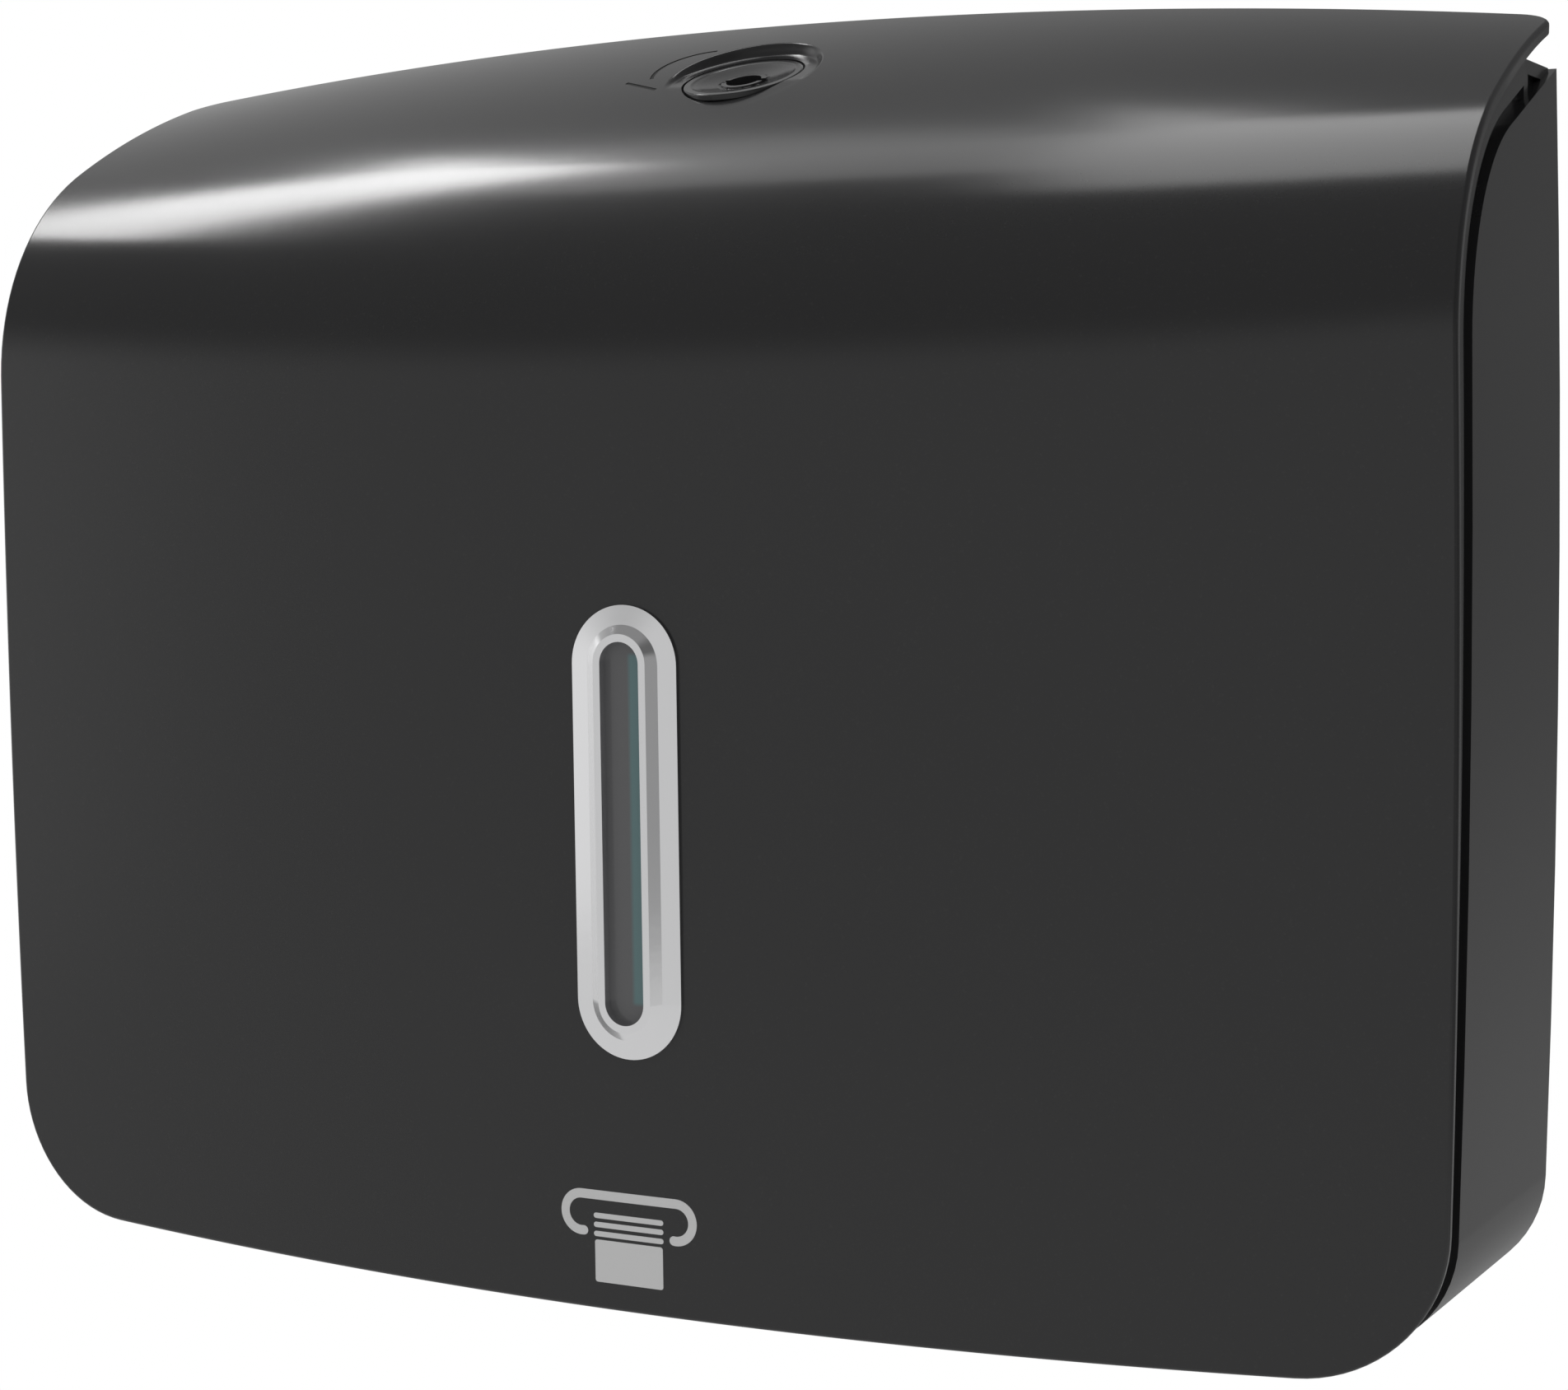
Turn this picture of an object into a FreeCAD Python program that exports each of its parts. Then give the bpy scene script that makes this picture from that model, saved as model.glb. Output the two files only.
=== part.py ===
import FreeCAD, Part
import math
import os
import re
import Sketcher
from FreeCAD import Placement, Rotation, Vector

# Wall-hung dispenser for folded paper hand towels.
# X runs to the viewer's right, Y into the wall with the wall at 0, and Z up.
# Inside each piece the heights count from the lowest point of the cover's bottom edge.
# The last placement of a piece moves it so that the part's origin is the centre of the wall screws.

doc = FreeCAD.newDocument("TowelDispenser")
sizes = doc.addObject("Spreadsheet::Sheet", "Sizes")

# Driving sizes in millimetres and degrees
driving = [
    ("tool_past", 1.0, "cutting tools past what they cut"),
    ("tool_reach", 60.0, "large cutting tools past what they cut"),
    ("origin_rise", 123.0, "screw pattern centre above the cover's bottom edge"),
    ("cover_width", 300.0, "cover across its widest place"),
    ("cover_wall", 2.5, "cover sheet"),
    ("side_bow_radius", 3500.0, "bow of the cover's and case's sides"),
    ("side_bow_height", 109.0, "height of the widest place"),
    ("bottom_bow_radius", 2706.0, "smile of the cover's bottom edge"),
    ("cover_corner", 26.8, "cover's lower corners"),
    ("cover_rear_corner", 6.5, "cover's rear corners seen from above"),
    ("cover_rear_gap", 10.2, "cover's rear edge to the wall"),
    ("front_lean", 1.1, "forward lean of the front"),
    ("side_front", 73.1, "front at the side edges, at the bottom"),
    ("side_straight", 172.3, "height where the side profile starts to turn"),
    ("side_turn_radius", 48.2, "front to top radius at the side"),
    ("side_turn_slope", 30.0, "slope where the side's second curve starts"),
    ("side_top_radius", 186.0, "top curve at the side"),
    ("mid_front", 80.5, "front on the centre line, at the bottom"),
    ("mid_straight", 166.7, "height where the centre profile starts to turn"),
    ("mid_turn_radius", 55.7, "front to top radius on the centre line"),
    ("mid_turn_slope", 40.0, "slope where the centre's second curve starts"),
    ("mid_top_radius", 176.8, "top curve on the centre line"),
    ("form_end_slope", 8.0, "slope where the top curves end, behind the trimmed edge"),
    ("form_foot", 12.0, "front carried on below the trimmed edge"),
    ("corner_ease", 0.05, "rear corners' arcs outside the bowed sides"),
    ("skirt_inset", 3.4, "cover edge to the inner skirt"),
    ("skirt_wall", 1.6, "inner skirt"),
    ("skirt_gap", 2.6, "skirt's rear edge to the case's front edge"),
    ("skirt_end", 104.0, "centre line to the skirt's lower ends"),
    ("skirt_ledge_gap", 1.0, "skirt's rear end in front of the ledge"),
    ("case_width", 294.2, "case across its widest place"),
    ("case_depth", 57.4, "wall to the front edge of the case's sides"),
    ("case_wall", 2.5, "case side walls and floor"),
    ("case_back", 2.5, "case back wall"),
    ("case_bottom", 3.5, "underside of the floor"),
    ("case_corner", 21.4, "case's lower corners"),
    ("case_top", 225.0, "top of the case"),
    ("case_turn_radius", 41.0, "turn of the case's front edge"),
    ("case_top_slope", 22.0, "slope of the case's front edge near the top"),
    ("lip_wall", 1.5, "lip inside the case's front edge"),
    ("lip_reach", 5.6, "lip in front of the case's front edge"),
    ("lip_root", 7.0, "lip behind the case's front edge"),
    ("lip_foot", 27.0, "height where the lip starts"),
    ("ledge_depth", 17.6, "ledge along the top of the back wall"),
    ("ledge_drop", 13.0, "height of the ledge"),
    ("ledge_wall", 2.5, "ledge top and front"),
    ("ledge_inset", 1.2, "ledge ends inside the case's side faces"),
    ("screw_span", 190.0, "wall screws across"),
    ("screw_rise", 120.0, "wall screws up"),
    ("screw_hole", 2.75, "radius of a wall screw hole"),
    ("screw_boss", 8.5, "radius of a wall screw boss"),
    ("screw_boss_depth", 3.0, "wall screw boss in front of the back wall"),
    ("hinge_front", 71.0, "wall to the hinge line"),
    ("hinge_height", 8.5, "height of the hinge line"),
    ("hinge_pin", 1.6, "radius of a hinge pin"),
    ("hinge_eye", 3.6, "radius of the eyes round the pins"),
    ("hinge_place", 93.0, "centre line to the gap between lug and ear"),
    ("hinge_gap", 0.3, "gap between lug and ear"),
    ("lug_width", 5.0, "case hinge lug"),
    ("ear_width", 4.7, "cover hinge ear"),
    ("stop_low", 4.9, "underside of the stop behind the ears"),
    ("stop_high", 8.0, "top of the stop behind the ears"),
    ("stop_back", 53.5, "wall to the rear end of the stop"),
    ("ear_rise", 15.0, "web of the ear above the hinge line"),
    ("stop_gap", 0.3, "ear to the stop at the end of the swing"),
    ("pin_fit", 0.02, "pin in its lug"),
    ("pin_run", 0.08, "pin in its ear"),
    ("pin_head", 3.2, "radius of the pin's head"),
    ("pin_head_length", 1.5, "pin's head"),
    ("clip_radius", 3.4, "pin clip"),
    ("clip_length", 0.8, "pin clip"),
    ("clip_groove", 1.15, "radius at the bottom of the pin's groove"),
    ("slot_width", 26.0, "towel exit, front to back"),
    ("slot_length", 176.0, "towel exit across"),
    ("slot_middle", 32.0, "wall to the middle of the towel exit"),
    ("throat_wall", 4.0, "thick rounded lip round the towel exit"),
    ("throat_drop", 1.8, "throat below the floor"),
    ("throat_round", 1.6, "rounding of the throat's mouth"),
    ("tray_flange", 7.0, "tray flange round its throat"),
    ("tray_plate", 2.0, "tray flange"),
    ("tray_fit", 0.3, "throat in the floor's opening"),
    ("tray_boss", 3.2, "radius of the screw bosses under the floor"),
    ("tray_boss_drop", 1.8, "screw bosses below the floor"),
    ("tray_screw_place", 70.0, "centre line to a tray screw"),
    ("tray_screw_length", 6.0, "tray screw below its head"),
    ("small_screw", 1.25, "radius of a small screw"),
    ("small_head", 2.6, "radius of a small screw's head"),
    ("small_head_height", 1.6, "small screw's head"),
    ("small_clear", 1.45, "radius of a clearance hole for a small screw"),
    ("guide_place", 121.0, "centre line to a towel guide's inner face"),
    ("guide_wall", 2.0, "towel guide"),
    ("guide_depth", 46.0, "towel guide"),
    ("guide_bottom", 30.0, "lower end of a towel guide"),
    ("guide_top", 186.0, "upper end of a towel guide"),
    ("guide_foot", 12.0, "foot of a towel guide on the back wall"),
    ("guide_stud", 2.4, "radius of a guide's studs"),
    ("guide_stud_inset", 28.0, "stud to the guide's end"),
    ("guide_fit", 0.1, "guide stud in its hole"),
    ("guide_sink", 0.1, "guide stud short of the wall"),
    ("buffer_height", 160.0, "height of the rubber buffers"),
    ("buffer_inset", 10.1, "case's widest place to a buffer"),
    ("buffer_lug", 6.0, "half the size of a buffer's lug"),
    ("buffer_lug_wall", 3.0, "buffer's lug"),
    ("buffer_head", 4.0, "radius of a buffer's head"),
    ("buffer_shelf", 60.0, "wall to the rear of a buffer's lug"),
    ("buffer_stem", 2.0, "radius of a buffer's stem"),
    ("buffer_fit", 0.05, "buffer's stem in its hole"),
    ("buffer_barb", 2.7, "radius of a buffer's barb"),
    ("buffer_tip", 1.6, "radius of the barb's tip"),
    ("buffer_gap", 0.3, "buffer to the cover"),
    ("window_height", 88.6, "height of the window's middle"),
    ("bezel_width", 21.6, "window bezel across"),
    ("bezel_end", 6.5, "window bezel beyond its slot, above and below"),
    ("bezel_edge", 0.6, "bezel's outer edge proud of the cover"),
    ("bezel_knee", 3.5, "sloping flange of the bezel"),
    ("bezel_knee_rise", 1.2, "bezel at the inner end of its flange"),
    ("bezel_ring", 1.4, "flat inner ring of the bezel"),
    ("bezel_rise", 2.4, "bezel's inner ring proud of the cover"),
    ("pane_width", 8.0, "slot in the bezel across"),
    ("pane_length", 69.6, "slot in the bezel from top to bottom"),
    ("bezel_lap", 1.5, "bezel over the edge of the cover's hole"),
    ("bezel_fit", 0.15, "bezel in the cover's hole"),
    ("spigot_reach", 1.5, "bezel's spigot behind the cover sheet"),
    ("lens_seat", 0.7, "lens behind the bezel's slot all round"),
    ("lens_sink", 2.0, "lens behind the bezel's ring"),
    ("lens_wall", 1.5, "lens"),
    ("lens_fit", 0.1, "lens in its pocket"),
    ("retainer_wall", 2.0, "plate behind the window"),
    ("retainer_lap", 3.0, "plate beyond the cover's hole"),
    ("retainer_fit", 0.1, "plate behind the cover's bowed inner face"),
    ("retainer_screw", 0.9, "radius of a window screw"),
    ("retainer_screw_fit", 0.15, "window screw in the plate's hole"),
    ("retainer_head", 1.9, "radius of a window screw's head"),
    ("retainer_screw_length", 3.6, "window screw below its head"),
    ("dial_back", 37.5, "wall to the middle of the lock dial"),
    ("dial_tilt", 22.0, "tilt of the lock's axis towards the viewer"),
    ("dial_radius", 11.6, "lock dial"),
    ("dial_rim", 1.5, "flat of the dial's rim"),
    ("dial_proud", 0.3, "dial's rim above the cover at its middle"),
    ("well_radius", 14.1, "recess round the dial"),
    ("well_depth", 1.9, "recess below the cover at its middle"),
    ("well_wall", 2.5, "cover under the recess"),
    ("boss_wall", 2.0, "cover boss outside the recess"),
    ("dial_gap", 0.1, "dial's rim above the recess"),
    ("bowl_depth", 2.6, "bowl in the dial"),
    ("hub_radius", 7.6, "dial's hub"),
    ("hub_run", 0.08, "hub in the cover"),
    ("socket_radius", 3.4, "key socket in the dial"),
    ("socket_depth", 3.6, "key socket below the bowl"),
    ("socket_lip", 1.0, "raised lip round the key socket"),
    ("socket_lip_rise", 1.2, "height of that lip in the bowl"),
    ("socket_notch", 1.6, "width of the key socket's notches"),
    ("socket_notch_reach", 4.6, "key socket's notches from the axis"),
    ("drive_size", 9.6, "square end of the hub"),
    ("drive_fit", 0.05, "square end in the cam"),
    ("spring_wall", 0.6, "spring washer"),
    ("spring_rise", 1.5, "spring washer's height"),
    ("spring_bore", 7.8, "radius of the spring washer's hole"),
    ("spring_radius", 9.8, "radius of the spring washer"),
    ("cam_wall", 3.0, "latch cam"),
    ("cam_disc", 8.2, "latch cam's disc"),
    ("cam_hook_inner", 13.3, "inner radius of the cam's hook"),
    ("cam_hook_outer", 16.1, "outer radius of the cam's hook"),
    ("cam_hook_sweep", 111.0, "angle of the cam's hook"),
    ("cam_hook_turn", 17.5, "middle of the hook back from the cam's own X line"),
    ("cam_arm", 4.5, "width of the cam's arm"),
    ("cam_arm_turn", 63.0, "cam's arm back from the same line"),
    ("cam_washer_wall", 0.8, "washer under the cam screw"),
    ("cam_washer_radius", 6.5, "radius of that washer"),
    ("cam_screw_length", 3.4, "cam screw below its head"),
    ("post_near", 9.4, "lock axis to the strike's post"),
    ("post_wall", 2.4, "strike's post"),
    ("post_half", 2.2, "half the width of the strike's post"),
    ("post_arm", 2.5, "thickness of the strike's arm"),
    ("post_arm_gap", 1.8, "strike's arm below the cam's hook"),
    ("post_top_gap", 1.7, "strike's post below the cover's boss"),
    ("strike_wall", 2.0, "strike plate"),
    ("strike_half", 14.0, "half the width of the strike plate"),
    ("strike_height", 12.0, "strike plate on the ledge"),
    ("strike_screw_place", 9.5, "centre line to a strike screw"),
    ("strike_screw_length", 4.0, "strike screw below its head"),
]
for row, (alias, amount, meaning) in enumerate(driving, start=1):
    sizes.set("A%d" % row, alias)
    sizes.set("B%d" % row, str(amount))
    sizes.setAlias("B%d" % row, alias)
    sizes.set("C%d" % row, meaning)
doc.recompute()

nodes = []


# Helpers for sizes and placements

def number(expression):
    """Value of an expression of the sheet's sizes."""
    return float(sizes.evalExpression(expression))


def size(alias):
    """Value of one driving size."""
    return number(alias)


def linked(expression):
    """The expression as an object outside the sheet has to write it."""
    names = {alias for alias, amount, meaning in driving}
    return re.sub(r"[a-z_]+", lambda word: "Sizes." + word[0] if word[0] in names else word[0], expression)


def bind(thing, link, expression):
    thing.setExpression(link, linked(expression))


def place(thing, x="0", y="0", z="0"):
    """Bind where a piece stands, keeping the turn that it has."""
    bind(thing, "Placement.Base.x", x)
    bind(thing, "Placement.Base.y", y)
    bind(thing, "Placement.Base.z", z)


def keep(thing, label, rise="0 - origin_rise"):
    """Name a finished piece and move it into the part's frame."""
    thing.Label = label
    bind(thing, "Placement.Base.z", rise)
    nodes.append(thing)
    return thing


# Helpers for Part primitives and booleans

ALONG_X = Rotation(Vector(0, 1, 0), 90)
FORWARD = Rotation(Vector(1, 0, 0), 90)
UPRIGHT = Rotation()


def box(name, x, y, z):
    """Box between pairs of expressions along each axis."""
    made = doc.addObject("Part::Box", name)
    for (low, high), side in zip((x, y, z), ("Length", "Width", "Height")):
        bind(made, side, "( %s ) - ( %s )" % (high, low))
    place(made, x[0], y[0], z[0])
    return made


def cylinder(name, radius, length, start, turn=UPRIGHT):
    """Cylinder of a radius and length from a start point along a turned Z."""
    made = doc.addObject("Part::Cylinder", name)
    made.Placement = Placement(Vector(), turn)
    bind(made, "Radius", radius)
    bind(made, "Height", length)
    place(made, *start)
    return made


def cone(name, radius, radius_far, length, start, turn=UPRIGHT):
    made = doc.addObject("Part::Cone", name)
    made.Placement = Placement(Vector(), turn)
    bind(made, "Radius1", radius)
    bind(made, "Radius2", radius_far)
    bind(made, "Height", length)
    place(made, *start)
    return made


def fuse(name, shapes):
    made = doc.addObject("Part::MultiFuse", name)
    made.Shapes = shapes
    made.Refine = True
    return made


def common(name, base, tool):
    made = doc.addObject("Part::Common", name)
    made.Base = base
    made.Tool = tool
    return made


def cut(name, base, tools):
    """Base less one or more tools."""
    made = doc.addObject("Part::Cut", name)
    made.Base = base
    made.Tool = tools[0] if len(tools) == 1 else fuse(name + "_tools", tools)
    return made


def group(name, shapes):
    """Separate equal solids that share one node."""
    made = doc.addObject("Part::Compound", name)
    made.Links = shapes
    return made


# Helpers for bodies and sketches

def plane(body, role):
    for feature in body.Origin.OriginFeatures:
        if feature.Role == role:
            return feature


def drawing_on(body, name, role, offset="0"):
    """Empty sketch on one of the body's own planes, moved along its normal."""
    drawing = body.newObject("Sketcher::SketchObject", name)
    drawing.AttachmentSupport = [(plane(body, role), "")]
    drawing.MapMode = "FlatFace"
    bind(drawing, "AttachmentOffset.Base.z", offset)
    return drawing


def datum(drawing, constraint, expression):
    """Add a constraint and bind its value to the sheet."""
    at = drawing.addConstraint(constraint)
    bind(drawing, "Constraints[%d]" % at, expression)


def pin_point(drawing, edge, end, x, y):
    """Tie a point of an edge to the sketch's origin by two expressions."""
    datum(drawing, Sketcher.Constraint("DistanceX", -1, 1, edge, end, number(x)), x)
    datum(drawing, Sketcher.Constraint("DistanceY", -1, 1, edge, end, number(y)), y)


def draw_polygon(drawing, corners):
    """Closed straight outline through corners given as pairs of expressions."""
    first = drawing.GeometryCount
    spots = [Vector(number(x), number(y), 0) for x, y in corners]
    count = len(spots)
    for i in range(count):
        drawing.addGeometry(Part.LineSegment(spots[i], spots[(i + 1) % count]), False)
    for i in range(count):
        follower = first + (i + 1) % count
        drawing.addConstraint(Sketcher.Constraint("Coincident", first + i, 2, follower, 1))
        pin_point(drawing, first + i, 1, *corners[i])


def draw_arc(drawing, middle, radius, start, end):
    """Arc about a middle point, counter-clockwise between two angles in radians."""
    circle = Part.Circle(Vector(middle[0], middle[1], 0), Vector(0, 0, 1), radius)
    return drawing.addGeometry(Part.ArcOfCircle(circle, start, end), False)


def draw_line(drawing, start, end):
    return drawing.addGeometry(Part.LineSegment(Vector(*start, 0), Vector(*end, 0)), False)


def smooth(drawing, edge, end, follower, start):
    """Join two edges end to end without a kink."""
    drawing.addConstraint(Sketcher.Constraint("Tangent", edge, end, follower, start))


def draw_stadium(drawing, width, length, lying_at=None):
    """Slot outline with round ends, upright about the origin or lying across at a depth."""
    half = number(width) / 2
    rise = "( ( %s ) - ( %s ) ) / 2" % (length, width)
    if lying_at is None:
        turn, ends = 0, (("0", rise), ("0", "0 - " + rise))
    else:
        turn, ends = -math.pi / 2, ((rise, lying_at), ("0 - " + rise, lying_at))
    (near_x, near_y), (far_x, far_y) = [(number(x), number(y)) for x, y in ends]
    side_x, side_y = -half * math.cos(turn), -half * math.sin(turn)
    near = draw_arc(drawing, (near_x, near_y), half, turn, turn + math.pi)
    away = draw_line(drawing, (near_x + side_x, near_y + side_y), (far_x + side_x, far_y + side_y))
    far = draw_arc(drawing, (far_x, far_y), half, turn + math.pi, turn + 2 * math.pi)
    back = draw_line(drawing, (far_x - side_x, far_y - side_y), (near_x - side_x, near_y - side_y))
    smooth(drawing, near, 2, away, 1)
    smooth(drawing, away, 2, far, 1)
    smooth(drawing, far, 2, back, 1)
    smooth(drawing, back, 2, near, 1)
    for edge, spot in zip((near, far), ends):
        pin_point(drawing, edge, 3, *spot)
        datum(drawing, Sketcher.Constraint("Radius", edge, half), "( %s ) / 2" % width)


def pad(body, drawing, length, name="Pad"):
    made = body.newObject("PartDesign::Pad", name)
    made.Profile = drawing
    bind(made, "Length", length)
    return made


def pocket(body, drawing, length, upwards, name):
    made = body.newObject("PartDesign::Pocket", name)
    made.Profile = drawing
    made.Reversed = upwards
    bind(made, "Length", length)
    return made


# Front outline shared by the cover and the case
# Two bowed sides, a bottom edge that is bowed or flat, and round lower corners.

def draw_front_outline(drawing, width, bottom, bottom_radius, corner, inset, top):
    """Outline moved inwards by an inset, with its centres where the outer outline has them."""
    side_radius = number("side_bow_radius")
    middle = number(width) / 2 - side_radius
    height = number("side_bow_height")
    turn = number(corner)
    in_by = number(inset)
    near = side_radius - turn
    if bottom_radius:
        bottom_middle = number(bottom) + number(bottom_radius)
        far = number(bottom_radius) - turn
        gap = math.hypot(middle, bottom_middle - height)
        along = (near ** 2 - far ** 2 + gap ** 2) / (2 * gap)
        across = math.sqrt(near ** 2 - along ** 2)
        ux, uy = -middle / gap, (bottom_middle - height) / gap
        corner_x = middle + along * ux + across * uy
        corner_y = height + along * uy - across * ux
        low_angle = math.atan2(corner_y - bottom_middle, corner_x)
    else:
        corner_y = number(bottom) + turn
        corner_x = middle + math.sqrt(near ** 2 - (corner_y - height) ** 2)
        low_angle = -math.pi / 2
    side_angle = math.atan2(corner_y - height, corner_x - middle)
    roof = number(top)
    top_angle = math.asin((roof - height) / (side_radius - in_by))
    right = draw_arc(drawing, (middle, height), side_radius - in_by, side_angle, top_angle)
    roof_half = middle + (side_radius - in_by) * math.cos(top_angle)
    lid = draw_line(drawing, (roof_half, roof), (-roof_half, roof))
    left = draw_arc(drawing, (-middle, height), side_radius - in_by,
                    math.pi - top_angle, math.pi - side_angle)
    low_left = draw_arc(drawing, (-corner_x, corner_y), turn - in_by,
                        math.pi - side_angle, 2 * math.pi - (math.pi + low_angle))
    if bottom_radius:
        floor = draw_arc(drawing, (0, bottom_middle), number(bottom_radius) - in_by,
                         -math.pi - low_angle, low_angle)
    else:
        floor = draw_line(drawing, (-corner_x, number(bottom) + in_by), (corner_x, number(bottom) + in_by))
    low_right = draw_arc(drawing, (corner_x, corner_y), turn - in_by, low_angle, side_angle)
    drawing.addConstraint(Sketcher.Constraint("Coincident", right, 2, lid, 1))
    drawing.addConstraint(Sketcher.Constraint("Coincident", lid, 2, left, 1))
    smooth(drawing, left, 2, low_left, 1)
    smooth(drawing, low_left, 2, floor, 1)
    smooth(drawing, floor, 2, low_right, 1)
    smooth(drawing, low_right, 2, right, 1)
    side = "side_bow_radius - ( %s )" % inset
    centre = "( %s ) / 2 - side_bow_radius" % width
    datum(drawing, Sketcher.Constraint("Radius", right, side_radius - in_by), side)
    datum(drawing, Sketcher.Constraint("Radius", left, side_radius - in_by), side)
    pin_point(drawing, right, 3, centre, "side_bow_height")
    pin_point(drawing, left, 3, "0 - ( %s )" % centre, "side_bow_height")
    for edge in (low_left, low_right):
        datum(drawing, Sketcher.Constraint("Radius", edge, turn - in_by), "( %s ) - ( %s )" % (corner, inset))
    drawing.addConstraint(Sketcher.Constraint("Horizontal", lid))
    datum(drawing, Sketcher.Constraint("DistanceY", -1, 1, lid, 1, roof), top)
    if bottom_radius:
        datum(drawing, Sketcher.Constraint("Radius", floor, number(bottom_radius) - in_by),
              "( %s ) - ( %s )" % (bottom_radius, inset))
        pin_point(drawing, floor, 3, "0", "( %s ) + ( %s )" % (bottom, bottom_radius))
    else:
        drawing.addConstraint(Sketcher.Constraint("Horizontal", floor))
        datum(drawing, Sketcher.Constraint("DistanceY", -1, 1, floor, 1, number(bottom) + in_by),
              "( %s ) + ( %s )" % (bottom, inset))


def outline_prism(name, outline, inset, start, end, top="case_top + tool_reach"):
    """Front outline carried straight towards the viewer, from one depth to another."""
    body = doc.addObject("PartDesign::Body", name)
    drawing = drawing_on(body, name + "_outline", "XZ_Plane", start)
    draw_front_outline(drawing, *outline, inset, top)
    pad(body, drawing, "( %s ) - ( %s )" % (end, start), name + "_pad")
    return body


cover_outline = ("cover_width", "0", "bottom_bow_radius", "cover_corner")
case_outline = ("case_width", "case_bottom", None, "case_corner")


# Side profiles of the cover
# A leaning front, a tight turn and a long top curve, closed at the back and below.

def height_of_bend(which, inset):
    """Height where an inset profile starts to turn, square across the sheet from the outer bend."""
    return "( %s_straight + ( %s ) * sin(front_lean * 1deg) )" % (which, inset)


def draw_cover_profile(drawing, which, inset):
    """Profile of the cover's surface moved inwards by an inset."""
    lean = math.radians(size("front_lean"))
    in_by = number(inset)
    foot_drop = size("form_foot")
    front = -size(which + "_front") + in_by / math.cos(lean)
    straight = number(height_of_bend(which, inset))
    turn_radius = size(which + "_turn_radius") - in_by
    top_radius = size(which + "_top_radius") - in_by
    knee = math.radians(size(which + "_turn_slope"))
    end = math.radians(size("form_end_slope"))
    upright = math.pi / 2 + lean
    foot = (front + foot_drop * math.tan(lean), -foot_drop)
    bend = (front - straight * math.tan(lean), straight)
    turn_middle = (bend[0] + turn_radius * math.sin(upright), bend[1] - turn_radius * math.cos(upright))
    knee_point = (turn_middle[0] - turn_radius * math.sin(knee),
                  turn_middle[1] + turn_radius * math.cos(knee))
    top_middle = (knee_point[0] + top_radius * math.sin(knee), knee_point[1] - top_radius * math.cos(knee))
    end_point = (top_middle[0] - top_radius * math.sin(end), top_middle[1] + top_radius * math.cos(end))
    wall = draw_line(drawing, foot, bend)
    turn = draw_arc(drawing, turn_middle, turn_radius, math.pi / 2 + knee, math.pi / 2 + upright)
    roof = draw_arc(drawing, top_middle, top_radius, math.pi / 2 + end, math.pi / 2 + knee)
    drop = draw_line(drawing, end_point, (end_point[0], -foot_drop))
    floor = draw_line(drawing, (end_point[0], -foot_drop), foot)
    smooth(drawing, wall, 2, turn, 2)
    smooth(drawing, turn, 1, roof, 2)
    drawing.addConstraint(Sketcher.Constraint("Coincident", roof, 1, drop, 1))
    drawing.addConstraint(Sketcher.Constraint("Coincident", drop, 2, floor, 1))
    drawing.addConstraint(Sketcher.Constraint("Coincident", floor, 2, wall, 1))
    drawing.addConstraint(Sketcher.Constraint("Vertical", drop))
    drawing.addConstraint(Sketcher.Constraint("Horizontal", floor))
    shift = "( %s ) / cos(front_lean * 1deg)" % inset
    pin_point(drawing, wall, 1, shift + " - %s_front + form_foot * tan(front_lean * 1deg)" % which,
              "0 - form_foot")
    datum(drawing, Sketcher.Constraint("DistanceY", -1, 1, wall, 2, number(height_of_bend(which, inset))),
          height_of_bend(which, inset))
    datum(drawing, Sketcher.Constraint("Angle", wall, upright), "( 90 + front_lean ) * 1deg")
    turn_size = "( %s_turn_radius - ( %s ) )" % (which, inset)
    top_size = "( %s_top_radius - ( %s ) )" % (which, inset)
    datum(drawing, Sketcher.Constraint("Radius", turn, turn_radius), turn_size)
    datum(drawing, Sketcher.Constraint("Radius", roof, top_radius), top_size)
    datum(drawing, Sketcher.Constraint("DistanceX", turn, 1, turn, 3, turn_radius * math.sin(knee)),
          "%s * sin(%s_turn_slope * 1deg)" % (turn_size, which))
    datum(drawing, Sketcher.Constraint("DistanceX", roof, 1, roof, 3, top_radius * math.sin(end)),
          "%s * sin(form_end_slope * 1deg)" % top_size)


def cover_form(name, inset):
    """Closed form under the cover's surface, lofted from side to side."""
    body = doc.addObject("PartDesign::Body", name)
    half = "cover_width / 2"
    stations = (("side", "0 - " + half, "left"), ("mid", "0", "centre"), ("side", half, "right"))
    drawings = []
    for which, offset, where in stations:
        drawing = drawing_on(body, "%s_%s" % (name, where), "YZ_Plane", offset)
        draw_cover_profile(drawing, which, inset)
        drawings.append(drawing)
    doc.recompute()
    loft = body.newObject("PartDesign::AdditiveLoft", name + "_loft")
    loft.Profile = drawings[0]
    loft.Sections = drawings[1:]
    loft.Ruled = False
    return body


outer_form = cover_form("outer_form", "0")
inner_form = cover_form("inner_form", "cover_wall")


def middle_of_turn(which):
    """Middle of the front turn of a cover profile, as a place and a height."""
    back = ("( 0 - %s_front - %s_straight * tan(front_lean * 1deg)"
            " + %s_turn_radius * cos(front_lean * 1deg) )") % (which, which, which)
    rise = "( %s_straight + %s_turn_radius * sin(front_lean * 1deg) )" % (which, which)
    return back, rise


def top_height(which, back):
    """Height of a cover profile at a distance from the wall, on its top curve."""
    turn_back, turn_rise = middle_of_turn(which)
    growth = "( %s_top_radius - %s_turn_radius )" % (which, which)
    top_back = "( %s + %s * sin(%s_turn_slope * 1deg) )" % (turn_back, growth, which)
    top_rise = "( %s - %s * cos(%s_turn_slope * 1deg) )" % (turn_rise, growth, which)
    return "( %s + sqrt(%s_top_radius ^ 2 - ( %s + %s ) ^ 2) )" % (top_rise, which, top_back, back)


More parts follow.
